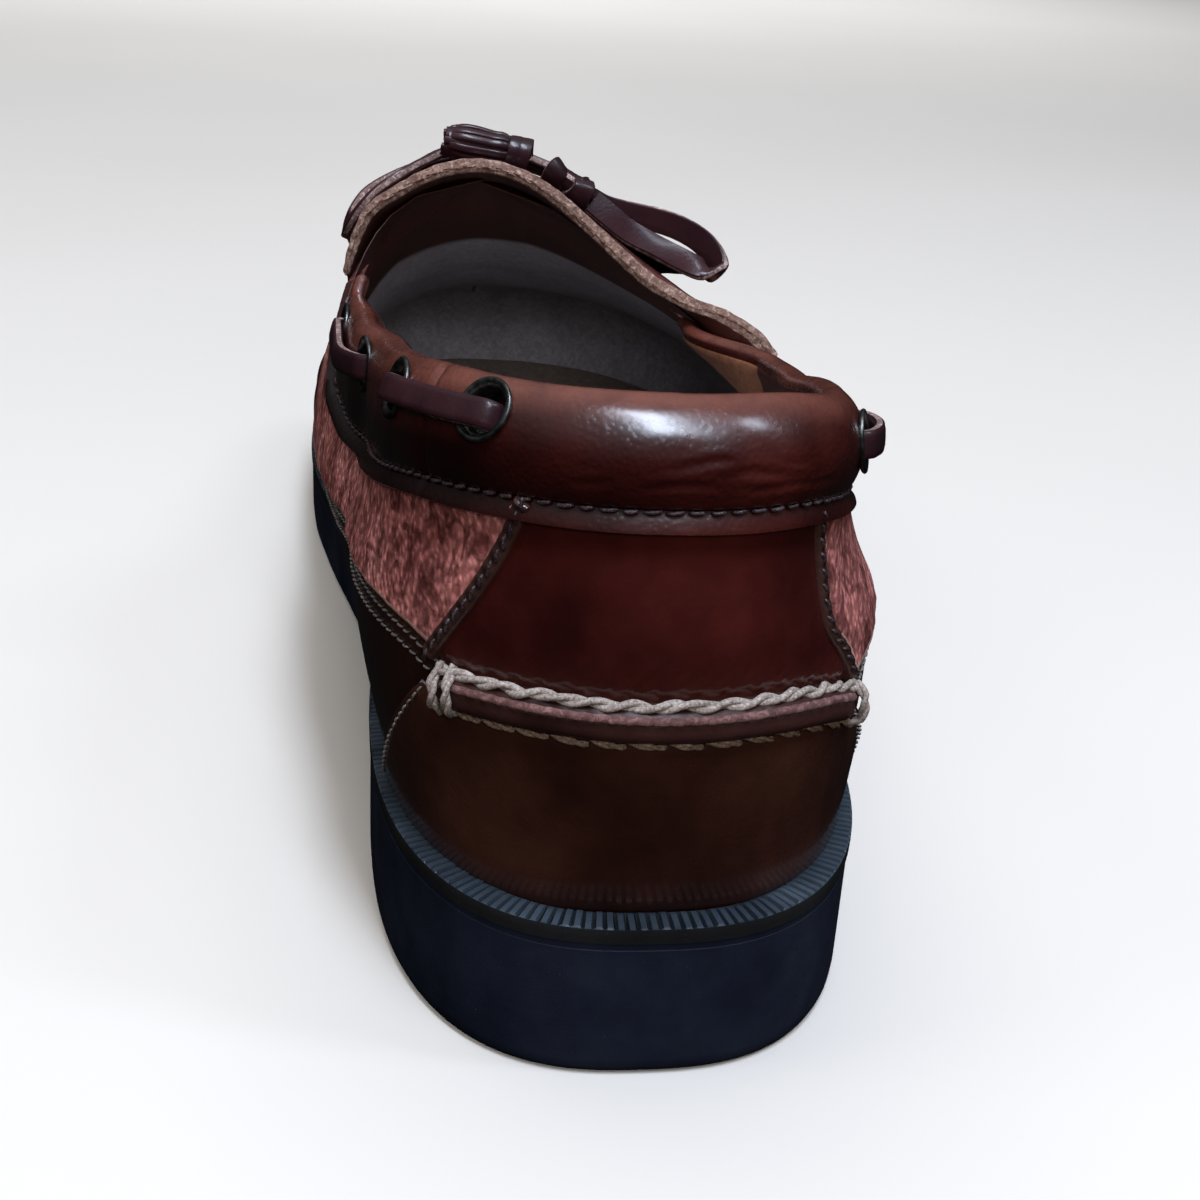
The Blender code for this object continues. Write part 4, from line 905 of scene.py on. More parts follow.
def softbox(name, place, target, size, power, colour=(1, 1, 1), mirrored=True):
    light = bpy.data.lights.new(name, "AREA")
    light.shape = "RECTANGLE"
    light.size, light.size_y = size
    light.energy = power
    light.color = colour
    made = bpy.data.objects.new(name, light)
    made.location = place
    made.rotation_mode = "QUATERNION"
    made.rotation_quaternion = (Vector(target) - Vector(place)).to_track_quat("-Z", "Y")
    made.visible_glossy = mirrored
    bpy.context.scene.collection.objects.link(made)


SKY_BLUE = (0.74, 0.84, 1.0)
softbox("window", (0.11, -0.60, 1.50), (0.0, -0.13, 0.09), (0.24, 0.85), 26.0, SKY_BLUE)
softbox("second_window", (0.80, -0.35, 1.30), (0.0, -0.12, 0.08), (0.16, 0.40), 4.5, SKY_BLUE)
softbox("top", (-0.15, 0.45, 1.5), (0.0, 0.05, 0.05), (1.2, 1.2), 12.0, mirrored=False)
softbox("left_fill", (-1.1, -0.2, 1.1), (0.0, -0.05, 0.05), (0.5, 0.5), 3.0, mirrored=False)
softbox("throat", (-0.05, -1.30, 0.62), (0.0, -0.02, 0.05), (0.6, 0.4), 8.0, (1.0, 0.96, 0.94), mirrored=False)
softbox("backdrop", (0.0, 1.75, 1.8), (0.0, 2.0, 0.0), (1.8, 1.0), 13.0, (0.93, 0.96, 1.0), mirrored=False)
bpy.data.lights["backdrop"].spread = math.radians(75)

# ---------------------------------------------------------------- the bow's loops
LACE_WIDTH, LACE_THICK = 4.6, 1.6


def over_ridge(y, q, edge_t, height=0.0):
    """Places across the top of the foot, q = -1 at the inner edge to 1 at the outer edge."""
    y, q, height = np.broadcast_arrays(np.asarray(y, float), np.asarray(q, float), np.asarray(height, float))
    side = np.where(q < 0, -1.0, 1.0)
    t = 1 - np.abs(q) * (1 - edge_t)
    p, normal, _ = wall_frame(side_u(side, y), t)
    return p + height[..., None] * normal, normal


def bow_points(rows):
    """Points and the wall's normals for rows of y, q and height."""
    rows = np.atleast_2d(np.array(rows, float))
    return over_ridge(rows[:, 0], rows[:, 1], TONGUE_EDGE_T, rows[:, 2])


OUTER_LOOP = (
    (130.8, 0.36, 6.4), (131.2, 0.42, 7.0), (131.0, 0.50, 8.9), (131.0, 0.58, 11.0), (131.0, 0.68, 12.5),
    (130.6, 0.776, 12.9), (130.0, 0.85, 11.9), (128.5, 0.885, 10.3), (127.0, 0.85, 8.9), (126.8, 0.76, 7.9),
    (126.8, 0.634, 6.9), (127.0, 0.52, 5.8), (127.2, 0.44, 5.7), (127.8, 0.37, 5.9),
)
INNER_LOOP = (
    (136.2, 0.24, 8.6), (137.0, 0.10, 8.6), (137.0, -0.05, 8.6), (135.6, -0.20, 8.5), (132.5, -0.33, 7.0),
    (128.5, -0.44, 5.8), (127.0, -0.58, 5.8), (127.0, -0.69, 5.8), (128.6, -0.77, 5.9), (131.6, -0.78, 6.1),
    (134.8, -0.72, 7.6), (138.5, -0.60, 8.7), (142.0, -0.40, 8.7), (142.5, -0.15, 8.7), (141.4, 0.08, 8.7),
    (140.2, 0.24, 8.7),
)
KNOT_ROW = (129.5, 0.285, 6.8)


def lace_kinds(faces, count):
    """Material of each face of a strap with count points round it: cut sides and ends, or face."""
    cut = (count // 2 - 1, count - 1)
    return [1 if len(face) > 4 or face[0] % count in cut else 0 for face in faces]


def strap_piece(name, points, faces, kinds, node, sharp=50.0):
    return mesh_piece(name, points, faces, [lace_look, lace_edge_look], LACE_SLOT, [node], kinds, sharp=sharp)


def lace(name, line, normals, node, width=LACE_WIDTH, thick=LACE_THICK, twist=None):
    section = strap_section(width, thick)
    points, faces = sweep(line, normals, section, twist=twist)
    return strap_piece(name, points, faces, lace_kinds(faces, len(section)), node)


def loop_lace(name, rows, lean, node):
    """A loop of lace along rows; lean(share, outward, wall normal) gives the way its outer face looks."""
    line, wall_normals = even_strap(*bow_points(rows), 8, 0.7)
    share = np.linspace(0, 1, len(line))[:, None]
    normals = unit(lean(share, unit(line - line.mean(0)), wall_normals))
    for _ in range(6):
        normals[1:-1] = unit(normals[:-2] + 2 * normals[1:-1] + normals[2:])
    made = lace(name, line, normals, node)
    world_line = placed(line)
    float(runs(world_line)[-1])


def outer_lean(share, outward, wall_normal):
    """The outer loop stands up: its far leg shows the viewer behind the shoe its inner face."""
    turn = eased(clipped((share - 0.50) / 0.18))
    near_leg = outward + (1 - clipped((share - 0.38) / 0.12)) * np.array([0.0, 1.9, -0.3])
    return (1 - turn) * near_leg + turn * (0.25 * outward + np.array([0.05, 0.85, -0.45]))


def flat_lean(share, outward, wall_normal):
    return wall_normal + 0.25 * outward


loop_lace("bow_outer_lace", OUTER_LOOP, outer_lean, "bow_outer_loop")
loop_lace("bow_inner_lace", INNER_LOOP, flat_lean, "bow_inner_loop")


# ---------------------------------------------------------------- sole and welt
def outline(contour, inset, us):
    """The plan of a contour, moved inward."""
    line = contour_at(contour, us)[:, :2]
    along = unit(np.roll(line, -1, axis=0) - np.roll(line, 1, axis=0))
    return line + inset * np.stack([-along[:, 1], along[:, 0]], 1)


def even_us(contour, count):
    """u at equal distances round a contour."""
    us = np.linspace(-3, 3, 3001)
    return even(us[:, None], count=count + 1, space=contour_at(contour, us))[:-1, 0]


def cap(loop, columns=18):
    """Points across a closed loop, pairing its two sides from the toe back to the heel."""
    half = len(loop) // 2
    inner = loop[:half + 1]
    outer = np.concatenate([loop[:1], loop[:half - 1:-1]])
    s = np.linspace(0, 1, columns)[None, :, None]
    return inner[:, None] * (1 - s) + outer[:, None] * s


SOLE_ROWS = (  # inset, height over the sole's bottom, share of the way from its bottom to its top
    (3.0, 0.0, 0.0), (1.7, 0.08, 0.0), (0.95, 0.5, 0.0), (0.55, 1.3, 0.0), (0.42, 2.6, 0.0), (0.38, 0.0, 0.3),
    (0.34, 0.0, 0.6), (0.31, 0.0, 0.84), (0.30, -1.2, 1.0), (0.30, -0.25, 1.0), (0.50, 0.0, 1.0),
)
sole_us = even_us(WELT, 480)
loops = []
for inset, rise, share in SOLE_ROWS:
    plan = outline(WELT, inset, sole_us)
    low, high = sole_bottom(plan[:, 1]), sole_top(plan[:, 1])
    loops.append(np.column_stack([plan, np.clip(low + rise + share * (high - low), low, high)]))
under, over = cap(loops[0]), cap(loops[-1])
under[..., 2] = sole_bottom(under[..., 1])
parts = [(np.array(loops).reshape(-1, 3), tube_faces(len(loops), len(sole_us)).tolist())]
parts += [(grid.reshape(-1, 3), grid_faces(*grid.shape[:2]).tolist()) for grid in (under, over)]
outsole = mesh_piece("outsole_rubber", *joined(parts), [sole_look], SOLE_SLOT, ["outsole"], sharp=35.0, merge=0.02)

# grooves of the tread, each with a wavy sipe in front of it
GROOVES = (  # y, reach to the inner side, reach to the outer side
    (16, 20, 20), (30, 25, 26), (44, 27, 28), (58, 28, 29), (176, 34, 40), (188, 36, 42), (200, 38, 44),
    (212, 39, 45), (224, 40, 45),
)
cutter_parts = []
for y, inner_x, outer_x in GROOVES:
    low = float(sole_bottom(y))
    for dy, width, depth, wave in ((0.0, 2.5, 1.6, 0.0), (6.0, 0.7, 1.3, 1.6)):
        xs = np.linspace(-inner_x, outer_x, 2 if wave == 0 else 40)
        ys = y + dy + wave * np.abs(((xs / 7.0) % 2) - 1) * 2 - wave
        line = np.column_stack([xs, ys, np.full(len(xs), low - 1.0)])
        section = [(-width / 2, -2.0), (width / 2, -2.0), (width / 2, depth + 1.0), (-width / 2, depth + 1.0)]
        cutter_parts.append(sweep(line, np.tile([0, 0, 1.0], (len(xs), 1)), section))


def bored(made, parts, name):
    """Cuts joined closed shapes out of a piece."""
    points, faces = joined(parts)
    mesh = bpy.data.meshes.new(name)
    mesh.from_pydata(placed(points).tolist(), [], [tuple(f) for f in faces])
    cleaned(mesh, 0, True)
    cutter = bpy.data.objects.new(name, mesh)
    bpy.context.scene.collection.objects.link(cutter)
    cut = made.modifiers.new("cut", "BOOLEAN")
    cut.operation, cut.solver, cut.object = "DIFFERENCE", "EXACT", cutter
    whole = bpy.data.meshes.new_from_object(made.evaluated_get(bpy.context.evaluated_depsgraph_get()))
    made.modifiers.clear()
    made.data = whole
    bpy.data.objects.remove(cutter)


bored(outsole, cutter_parts, "tread_cutter")

# the welt: a smooth band with a crisp edge, and a sloping row of ribs above it
RIB_PITCH = 1.55
RIB_PLACES = np.array([0.0, 0.12, 0.24, 0.76, 0.88])  # shares of the pitch: gap, flank, top, top, flank
RIB_HEIGHTS = (0.0, 0.0, 1.0, 1.0, 0.0)
WELT_ROWS = (  # inset, height over the welt's underside, depth of the gaps
    (0.60, -0.26, 0.0), (0.29, -0.24, 0.0), (0.20, 0.70, 0.0), (0.03, 0.78, 0.0), (0.0, 1.7, 0.0),
    (0.0, 2.80, 0.0), (0.06, 3.05, 0.0), (0.28, 3.12, 0.2), (0.62, 3.16, 0.75), (1.6, 3.22, 0.90),
    (2.6, 3.28, 0.90), (3.6, 3.30, 0.80), (4.1, 3.22, 0.4), (4.6, 2.9, 0.0), (5.4, 2.4, 0.0), (5.4, 0.0, 0.0),
)
ribs = int(round(runs(contour_at(WELT, np.linspace(-3, 3, 3001)))[-1] / RIB_PITCH))
rib_us = even_us(WELT, ribs)
next_us = np.append(rib_us[1:], rib_us[0] + 6)
welt_us = (rib_us[:, None] + (next_us - rib_us)[:, None] * RIB_PLACES[None]).ravel()
tooth = np.tile(RIB_HEIGHTS, ribs)
rib_number = np.repeat(np.arange(ribs), len(RIB_PLACES))
tall_rib = (1 + 0.30 * rng.uniform(-1, 1, ribs))[rib_number]
uneven = (0.16 * rng.uniform(-1, 1, ribs))[rib_number] + 0.05 * wander(rib_number, 6, 30)
rows = []
for inset, rise, depth in WELT_ROWS:
    plan = outline(WELT, inset, welt_us)
    z = sole_top(plan[:, 1]) + GAP + rise - depth * (1 - tooth) * tall_rib + uneven * (rise > 3.1)
    rows.append(np.column_stack([plan, z]))
grid = np.array(rows)
faces = tube_faces(*grid.shape[:2], wrap=True)
level, number = np.divmod(faces[:, 0], len(welt_us))
kinds = np.where(level < 2, 3, np.where(level < 6, 1, 0))
# The faces down in the gaps between the ribs take the near-black rubber: painted shade in the grooves.
in_gap = (level >= 7) & (level < 13) & np.isin(number % len(RIB_PLACES), (0, 4))
kinds = np.where(in_gap, 2, kinds)
mesh_piece("welt_ribbed", grid.reshape(-1, 3), faces.tolist(), [welt_look, band_look, rib_gap_shade_look, sole_look],
           WELT_SLOT, ["welt"], kinds, sharp=35.0, merge=0)

# ---------------------------------------------------------------- insole
insole_us = even_us(FEATHER, 240)
rings = []
for inset, rise in ((2.8, 0.0), (2.8, 2.0), (3.0, 2.7), (3.5, 3.0)):
    plan = outline(FEATHER, inset, insole_us)
    rings.append(np.column_stack([plan, sole_top(plan[:, 1]) + GAP + rise]))
spine_y = np.clip(rings[-1][:, 1], 40, 262)
spine_x = (through(FEATHER.rows, spine_y, "outer_x") - through(FEATHER.rows, spine_y, "inner_x")) / 2
spine = np.column_stack([spine_x, spine_y])
for share in (0.93, 0.8, 0.6, 0.35, 0.12, 0.0):
    plan = spine + share * (rings[3][:, :2] - spine)
    dip = 1.3 * np.exp(-((plan[:, 1] - 45) / 32) ** 2 - (plan[:, 0] / 24) ** 2)
    z = sole_top(plan[:, 1]) + GAP + 3.0 + 0.5 * (1 - share) - dip * (1 - share) ** 0.5
    rings.append(np.column_stack([plan, z]))
grid = np.array(rings)
deep, count = grid.shape[:2]
half = count // 2
underside = [(k, k + 1, count - k - 1, count - k) for k in range(1, half - 1)]
underside += [(0, 1, count - 1), (half - 1, half, half + 1)]
faces = tube_faces(deep, count).tolist() + underside
mesh_piece("insole_board", grid.reshape(-1, 3), faces, [insole_look], INSOLE_SLOT, ["insole"], merge=0.02)


# ---------------------------------------------------------------- upper
BASE_LIFT, LINING_LIFT = -0.7, -2.2
UPPER_CLOSED_Y = 129.5  # forward of here the upper runs on over the ridge
GATHER_PITCH = 6.0
HALF_T = 0.42  # half of the upper's rows lie below this t


def upper_top(us):
    t = t_at(us, COLLAR_SEAM, 3.0)
    return np.where(split(us)[1] >= 1 + (UPPER_CLOSED_Y - HEEL_Y) / (TOE_Y - HEEL_Y), 1.0, t)


def grid_of(us, ts):
    """(u, t) over a grid with one u to each row of ts."""
    return np.stack([np.repeat(us[:, None], ts.shape[1], 1), ts], -1)


def at(side, y, t):
    return wall(side_u(side, y), t)


VAMP_CREASES = [
    ([at(-1, 168, 0.42), at(-1, 178, 0.50), at(-1, 186, 0.57)], 2.0, 0.7),
    ([at(-1, 182, 0.36), at(-1, 192, 0.46), at(-1, 201, 0.55)], 2.2, 0.7),
    ([at(-1, 150, 0.40), at(-1, 158, 0.48)], 1.8, 0.5),
    ([at(1, 166, 0.42), at(1, 177, 0.50), at(1, 185, 0.57)], 2.0, 0.7),
    ([at(1, 180, 0.36), at(1, 191, 0.46), at(1, 200, 0.55)], 2.2, 0.7),
    ([at(1, 152, 0.38), at(1, 160, 0.47)], 1.8, 0.5),
    ([at(-1, 108, 0.16), at(-1, 118, 0.24), at(-1, 126, 0.30)], 2.4, 0.5),
    ([at(1, 100, 0.14), at(1, 112, 0.20), at(1, 122, 0.29)], 2.4, 0.5),
]
base_us = np.concatenate([np.linspace(-3, -1, 190)[:-1], np.linspace(-1, 1, 110)[:-1], np.linspace(1, 3, 190)])
shares = 2 * np.linspace(0, 1, 70)[None]
ts = np.where(shares < 1, shares * HALF_T, HALF_T + (shares - 1) * (upper_top(base_us)[:, None] - HALF_T))
ut = grid_of(base_us, ts)


def apron_t(us):
    """The apron's seam on the wall, along the sides and round the toe."""
    size = split(us)[1]
    angle = clipped(3 - size) * math.pi / 2
    return 0.60 + np.where(size > 2, 0.20 * np.cos(angle) ** 2, 0.0)


def pleats(p, us, ts):
    """Creases of the vamp, and the puckers of the moccasin seam round the toe."""
    fade = clipped((split(us)[1] - 1.72) / 0.35)
    below = (apron_t(us) - ts) / 0.16
    run = runs(p[:, :1])
    wave = 0.5 + 0.5 * np.cos(2 * np.pi * run / GATHER_PITCH + 0.6 * wander(run, 8, 31))
    depth = np.where(below > 0, bell(below, 0.45), 0)
    return creased(p, VAMP_CREASES) - 0.85 * fade * depth * (1 - wave)


p, normal, upward = wall_frame(ut[..., 0], ut[..., 1])
throat_us = np.concatenate([side_u(side, np.linspace(104.0, 131.0, 60)) for side in (-1, 1)])
throat = wall(throat_us, upper_top(throat_us))
from_throat = np.full(p.shape[:2], 99.0)
for place in throat:
    from_throat = np.minimum(from_throat, np.linalg.norm(p - place, axis=-1))
thin = eased(clipped(1 - from_throat / 16.0))
top = p + (BASE_LIFT + pleats(p, ut[..., 0], ut[..., 1]) + 1.15 * thin)[..., None] * normal
bottom = p + (LINING_LIFT + 2.5 * thin)[..., None] * normal
points, faces, kinds, used = closed_sheet(top, bottom)
# Painted shade on the outside of the inner side towards the heel; on the inside, the shade mark turns the lining to the
# underside leather's brown near the throat.
inner_heel_shade = clipped((-15 - p[..., 0]) / 6) * clipped((98 - p[..., 1]) / 24) * clipped((60 - p[..., 2]) / 6)
brown = clipped((33.0 - from_throat) / 8.0 + 0.5)
shade = np.concatenate([0.6 * inner_heel_shade.ravel(), brown.ravel()])[used]
mesh_piece("upper_base", points, faces, [wrap_look, under_look, inside_look], UPPER_SLOT, ["upper"], kinds,
           marks={"shade": shade})

# ---- lines on the heel and quarters
INNER_SEAM = locate([
    (-18.8, 10.0, 82.5), (-21.5, 11.5, 75.5), (-24.8, 14.0, 67.7), (-28.4, 17.3, 60.6), (-30.4, 19.4, 56.6),
])
OUTER_SEAM = locate([
    (20.8, 13.4, 79.5), (21.6, 13.8, 74.5), (23.7, 12.7, 64.7), (27.5, 15.6, 58.5), (29.6, 17.6, 53.8),
])


def heel_line(us, v):
    """The heel ridge's middle line moved v millimetres up the wall."""
    return np.stack([us, t_at(us, HEEL_RIDGE, v)], 1)


def pinned(line, first, last):
    """A line with its two ends moved to given places."""
    line[0], line[-1] = first, last
    return line


def shifted(uts, mm):
    """A line on the wall moved sideways: to the left of its own direction, seen from outside."""
    p, normal, _ = wall_frame(*uts.T)
    return locate(p + mm * unit(np.cross(normal, np.gradient(p, axis=0))))


# heel panel
us = np.linspace(INNER_SEAM[-1, 0], OUTER_SEAM[-1, 0], 15)
panel_bottom = pinned(heel_line(us, 2.6), INNER_SEAM[-1], OUTER_SEAM[-1])
us = np.linspace(INNER_SEAM[0, 0], OUTER_SEAM[0, 0], 11)
panel_top = pinned(np.stack([us, t_at(us, COLLAR_SEAM, 2.2)], 1), INNER_SEAM[0], OUTER_SEAM[0])


def gathers(near):
    """Fine slanting puckers where the heel panel is sewn down to the ridge."""
    across, up = near[0], near[2]
    wave = np.abs(np.sin(np.pi * (across + 0.45 * up) / 1.9 + 0.5 * wander(across, 4, 11)))
    second = np.abs(np.sin(np.pi * (across - 0.3 * up) / 3.1 + 1.0 + 0.7 * wander(across, 14, 17)))
    fade = np.exp(-(up / 3.0) ** 1.2)
    trough = -0.6 * bell(up, 1.6)
    slow = 0.16 * wander(across + 0.6 * up, 6, 26) * np.exp(-up / 16)
    return trough - fade * (0.22 * (1 - wave) + 0.18 * (1 - second)) + slow


# The heel panel is lighter along its bottom, at the puckers: partly rubbed wear, partly painted highlight.
panel("heel_panel", patch(panel_bottom, panel_top, INNER_SEAM[::-1], OUTER_SEAM[::-1], 0.55, 0.55),
      [oxblood, raw_dark, lining_look], relief=gathers, wear_and_highlight=lambda near: 0.55 * np.exp(-near[2] / 2.0))

# heel wrap, under the ridge
inner_front = locate([(-31.9, 22.1, 51.0), (-32.6, 31.0, 42.0), (-33.3, 41.0, 31.0), (-33.9, 50.0, 22.5)])
outer_front = locate([(31.4, 20.3, 48.4), (32.8, 31.0, 40.0), (34.0, 41.0, 30.0), (35.0, 50.0, 22.5)])
us = np.linspace(inner_front[0, 0], outer_front[0, 0], 15)
wrap_top = pinned(heel_line(us, -2.2), inner_front[0], outer_front[0])
us = np.linspace(inner_front[-1, 0], outer_front[-1, 0], 15)
wrap_bottom = np.stack([us, np.full(15, 0.01)], 1)
inner_front[-1], outer_front[-1] = wrap_bottom[0], wrap_bottom[-1]


def wrap_relief(near):
    down = near[3]
    wave = np.abs(np.sin(np.pi * (near[0] - 0.35 * down) / 2.8 + 0.6 * wander(near[0], 24, 15)))
    tuck = -0.9 * bell(near[2], 2.2)
    return (-1.0 * bell(down, 1.8) - 0.07 * np.exp(-down / 2.2) * (1 - wave) + tuck
            + 0.22 * wander(near[0] + down, 9, 40) * np.exp(-down / 26))


panel("heel_wrap", patch(wrap_bottom, wrap_top, inner_front[::-1], outer_front[::-1], 0.8, 0.7, by_top=True),
      [wrap_look, raw_dark, lining_look], relief=wrap_relief, wear_and_highlight=lambda near: 0.4 * np.exp(-near[3] / 1.5))

# stitches down the front seams of the wrap
for name, front, turn in (("inner", inner_front, 1), ("outer", outer_front, -1)):
    row_of(f"wrap_stitch_{name}", shifted(front, 1.3 * turn), 2.2, SMALL_STITCH, thread_pale, [], 0.36, 0.12)

# quarters
inner_low = [(-28.5, 16.6, 56.8), (-30.3, 19.4, 57.7), (-35.4, 30.6, 58.9), (-40.7, 56.2, 57.6)]
outer_low = [(29.8, 17.4, 53.2), (32.4, 23.4, 54.6), (36.6, 36.0, 56.2), (41.0, 58.0, 55.6)]
PALE_EDGE_BELOW = 62 * MM  # the pale cut edge shows only along the bottom


def quarter(name, side, low, seam):
    """One pebbled quarter, from the heel's seam forward to the tongue."""
    bottom = list(locate(low))
    for y, z in ((88.0, 54.4), (118.5, 50.6), (136.0, 48.8), (150.0, 49.6)):
        u = side_u(side, y)
        bottom.append((u, bisected(lambda t: wall(u, t)[2] < z, 0.05, 1.0)))
    bottom = np.array(bottom)
    bottom[0] = seam[-1]
    front = np.array([bottom[-1], (side_u(side, 155), 0.60), (side_u(side, 152), 0.70), (side_u(side, 140), 0.78)])
    us = np.linspace(seam[0, 0], side_u(side, 116.0), 16)
    top = np.vstack([np.stack([us, t_at(us, COLLAR_SEAM, 0.6)], 1), [front[-1]]])
    top[0] = seam[0]

    def relief(near):
        upright = 0.0
        for k, wave in enumerate((7.0, 11.0)):
            run = near[0] + 0.25 * near[2] * (1 if k else -1)
            upright = upright + 0.16 * wander(run, 31 + k, wave)
        hollow = -0.5 * bell(near[0] - 9.0, 4.0) * bell(near[3] - 6, 8.0)
        return upright + hollow + 0.25 * wander(near[2] + 0.3 * near[0], 37, 30)

    made = panel(name, patch(bottom, top, seam[::-1], front, 0.75, 0.75), [quarter_look, raw_pale, lining_look],
                 0.95, 1.9, radius=0.85, rim=5, relief=relief)
    for face in made.data.polygons:
        if face.material_index == 1 and face.center.z > PALE_EDGE_BELOW:
            face.material_index = 0
    return bottom


inner_bottom = quarter("quarter_inner", -1, inner_low, INNER_SEAM)
outer_bottom = quarter("quarter_outer", 1, outer_low, OUTER_SEAM)
for name, bottom in (("inner", inner_bottom), ("outer", outer_bottom)):
    p, normal, upward = wall_frame(*bottom[1:].T)
    for number, off in enumerate((2.2, 4.5)):
        row_of(f"quarter_stitch_{name}_{number}", locate(p - off * upward), 2.0, SMALL_STITCH, thread_pale, [],
               BASE_LIFT + 0.05, 0.12)


# dark strips down both sides of the heel panel, with their stitches
def braid(near):
    wave = np.cos(2 * np.pi * near[0] / 2.3 + 0.8 * wander(near[0], 41, 9))
    return 0.22 * wave * bell(near[2] - near[3], 1.6)


for name, seam, turn, wide in (("inner", INNER_SEAM, 1, 2.3), ("outer", OUTER_SEAM, -1, 2.1)):
    left, right = edge(shifted(seam, -wide / 2)), edge(shifted(seam, wide / 2))
    a, b = spacing(left.length, 0.6), spacing(wide, 0.35, (0.0, 0.12, 0.35))[None, :, None]
    grid = left(a)[:, None] * (1 - b) + right(a)[:, None] * b
    panel(f"heel_strip_{name}", grid, [dark_look, dark_look, lining_look], 1.20, 1.6, radius=0.6, relief=braid)
    row_of(f"heel_strip_stitch_{name}", shifted(seam, 0.25 * turn), 2.3, STITCH, thread_dark, [], 1.02, 0.12,
           turn=0.25)


# ---------------------------------------------------------------- the raised hand-sewn seams
# across is up the wall and rise is outward; kinds: 0 glossy lip, 1 pink raw edge, 2 dark raw edge
RIDGE_SECTION = (
    (3.1, -0.9, 0), (2.7, 0.30, 0), (2.35, 1.2, 0), (2.1, 1.65, 0), (1.9, 1.9, 1), (1.55, 2.2, 1), (1.2, 2.38, 1),
    (0.9, 2.30, 2), (0.6, 2.24, 0), (-0.3, 2.34, 0), (-1.0, 2.34, 0), (-1.6, 2.15, 0), (-2.15, 1.6, 0), (-2.45, 0.8, 0),
    (-2.55, -0.9, 0),
)


def raised_seam(name, uts, nodes, ends=5.0, step=0.7):
    p, normal, upward = wall_line(uts, step)
    along = unit(np.gradient(p, axis=0))
    upward = unit(np.cross(along, normal))
    upward = upward * np.sign((upward[:, 2:] + 0.3 * np.abs(upward[:, 2:])) + 1e-9)
    far = runs(p)
    fade = np.sqrt(np.clip(1 - (1 - clipped(np.minimum(far, far[-1] - far) / ends)) ** 2, 0.02, 1))
    ripple = 0.12 * np.cos(2 * np.pi * far / 2.1 + wander(far, 45, 9))
    rows = []
    for k, (v, h, kind) in enumerate(RIDGE_SECTION):
        rise = h + (0.13 * wander(far, 40 + k // 3, 8) + ripple * (0.8 < v < 2.5))
        rows.append(p + (v * (0.55 + 0.45 * fade))[:, None] * upward
                    + (np.where(h > 0, rise * fade, rise))[:, None] * normal)
    grid = np.stack(rows, 1)
    n, k = grid.shape[:2]
    faces = tube_faces(n, k).tolist() + [list(range(k)), list(range((n - 1) * k, n * k))]
    kinds = [RIDGE_SECTION[f[0] % k][2] if len(f) == 4 else 0 for f in faces]
    wear_and_highlight = np.repeat([[0.9 if abs(v) > 0.5 and h > 1.2 else 0.1 for v, h, kind in RIDGE_SECTION]], n, 0)
    mesh_piece(name, grid.reshape(-1, 3), faces, [ridge_look, raw_pink, raw_dark], UPPER_SLOT, nodes, kinds,
               marks={"wear_and_highlight": wear_and_highlight}, sharp=60.0)


ridge_us = np.linspace(-HEEL_RIDGE_U, HEEL_RIDGE_U, 17)
raised_seam("heel_seam_ridge", heel_line(ridge_us, 0.0), ["heel_ridge"])
BIG_ROPE = rope_bit(7.4, -0.60, 0.60, 0.50, 1.35, rings=15, sides=8, offset=0.46)
LENS_ROPE = rope_bit(5.1, -0.28, 0.34, 0.34, 0.8, rings=11, sides=7, offset=0.42)


CORD_RADIUS, CORD_LAY, CORD_LIFT, CORD_SAG, STITCH_PITCH = 0.50, 8.4, 1.15, 0.30, 5.9


def twisted_cord(name, uts, nodes):
    """Two plies of waxed cord laid along a seam, pulled down a little at every stitch."""
    p, normal, _ = wall_line(uts, 0.35)
    aside = unit(np.cross(normal, unit(np.gradient(p, axis=0))))
    far = runs(p)
    pull = 0.5 + 0.5 * np.cos(2 * np.pi * far / STITCH_PITCH + 0.5 * wander(far, 91, 30))
    sway = 0.22 * wander(far, 92, 13) + 0.18 * pull
    middle = p + (CORD_LIFT - CORD_SAG * pull)[:, None] * normal + sway[:, None] * aside
    parts = []
    for ply in range(2):
        angle = -2 * np.pi * far / CORD_LAY - 0.6 * wander(far, 93, 21) + ply * np.pi
        path = middle + 0.86 * CORD_RADIUS * (np.cos(angle)[:, None] * aside + np.sin(angle)[:, None] * normal)
        size = 1 + 0.10 * wander(far, 94 + ply, 5)
        parts.append(sweep(path, normal, ring(CORD_RADIUS, 9), size, twist=3.0 * angle))
    cordage(name, *joined(parts), cord_look, nodes)


twisted_cord("heel_cord_upper", heel_line(ridge_us * 0.985, 2.75), ["heel_ridge"])
row_of("heel_cord_lower", heel_line(ridge_us * 0.96, -2.95), 5.1, LENS_ROPE, cord_tan_shaded_look, ["heel_ridge"],
       0.45, 0.10)


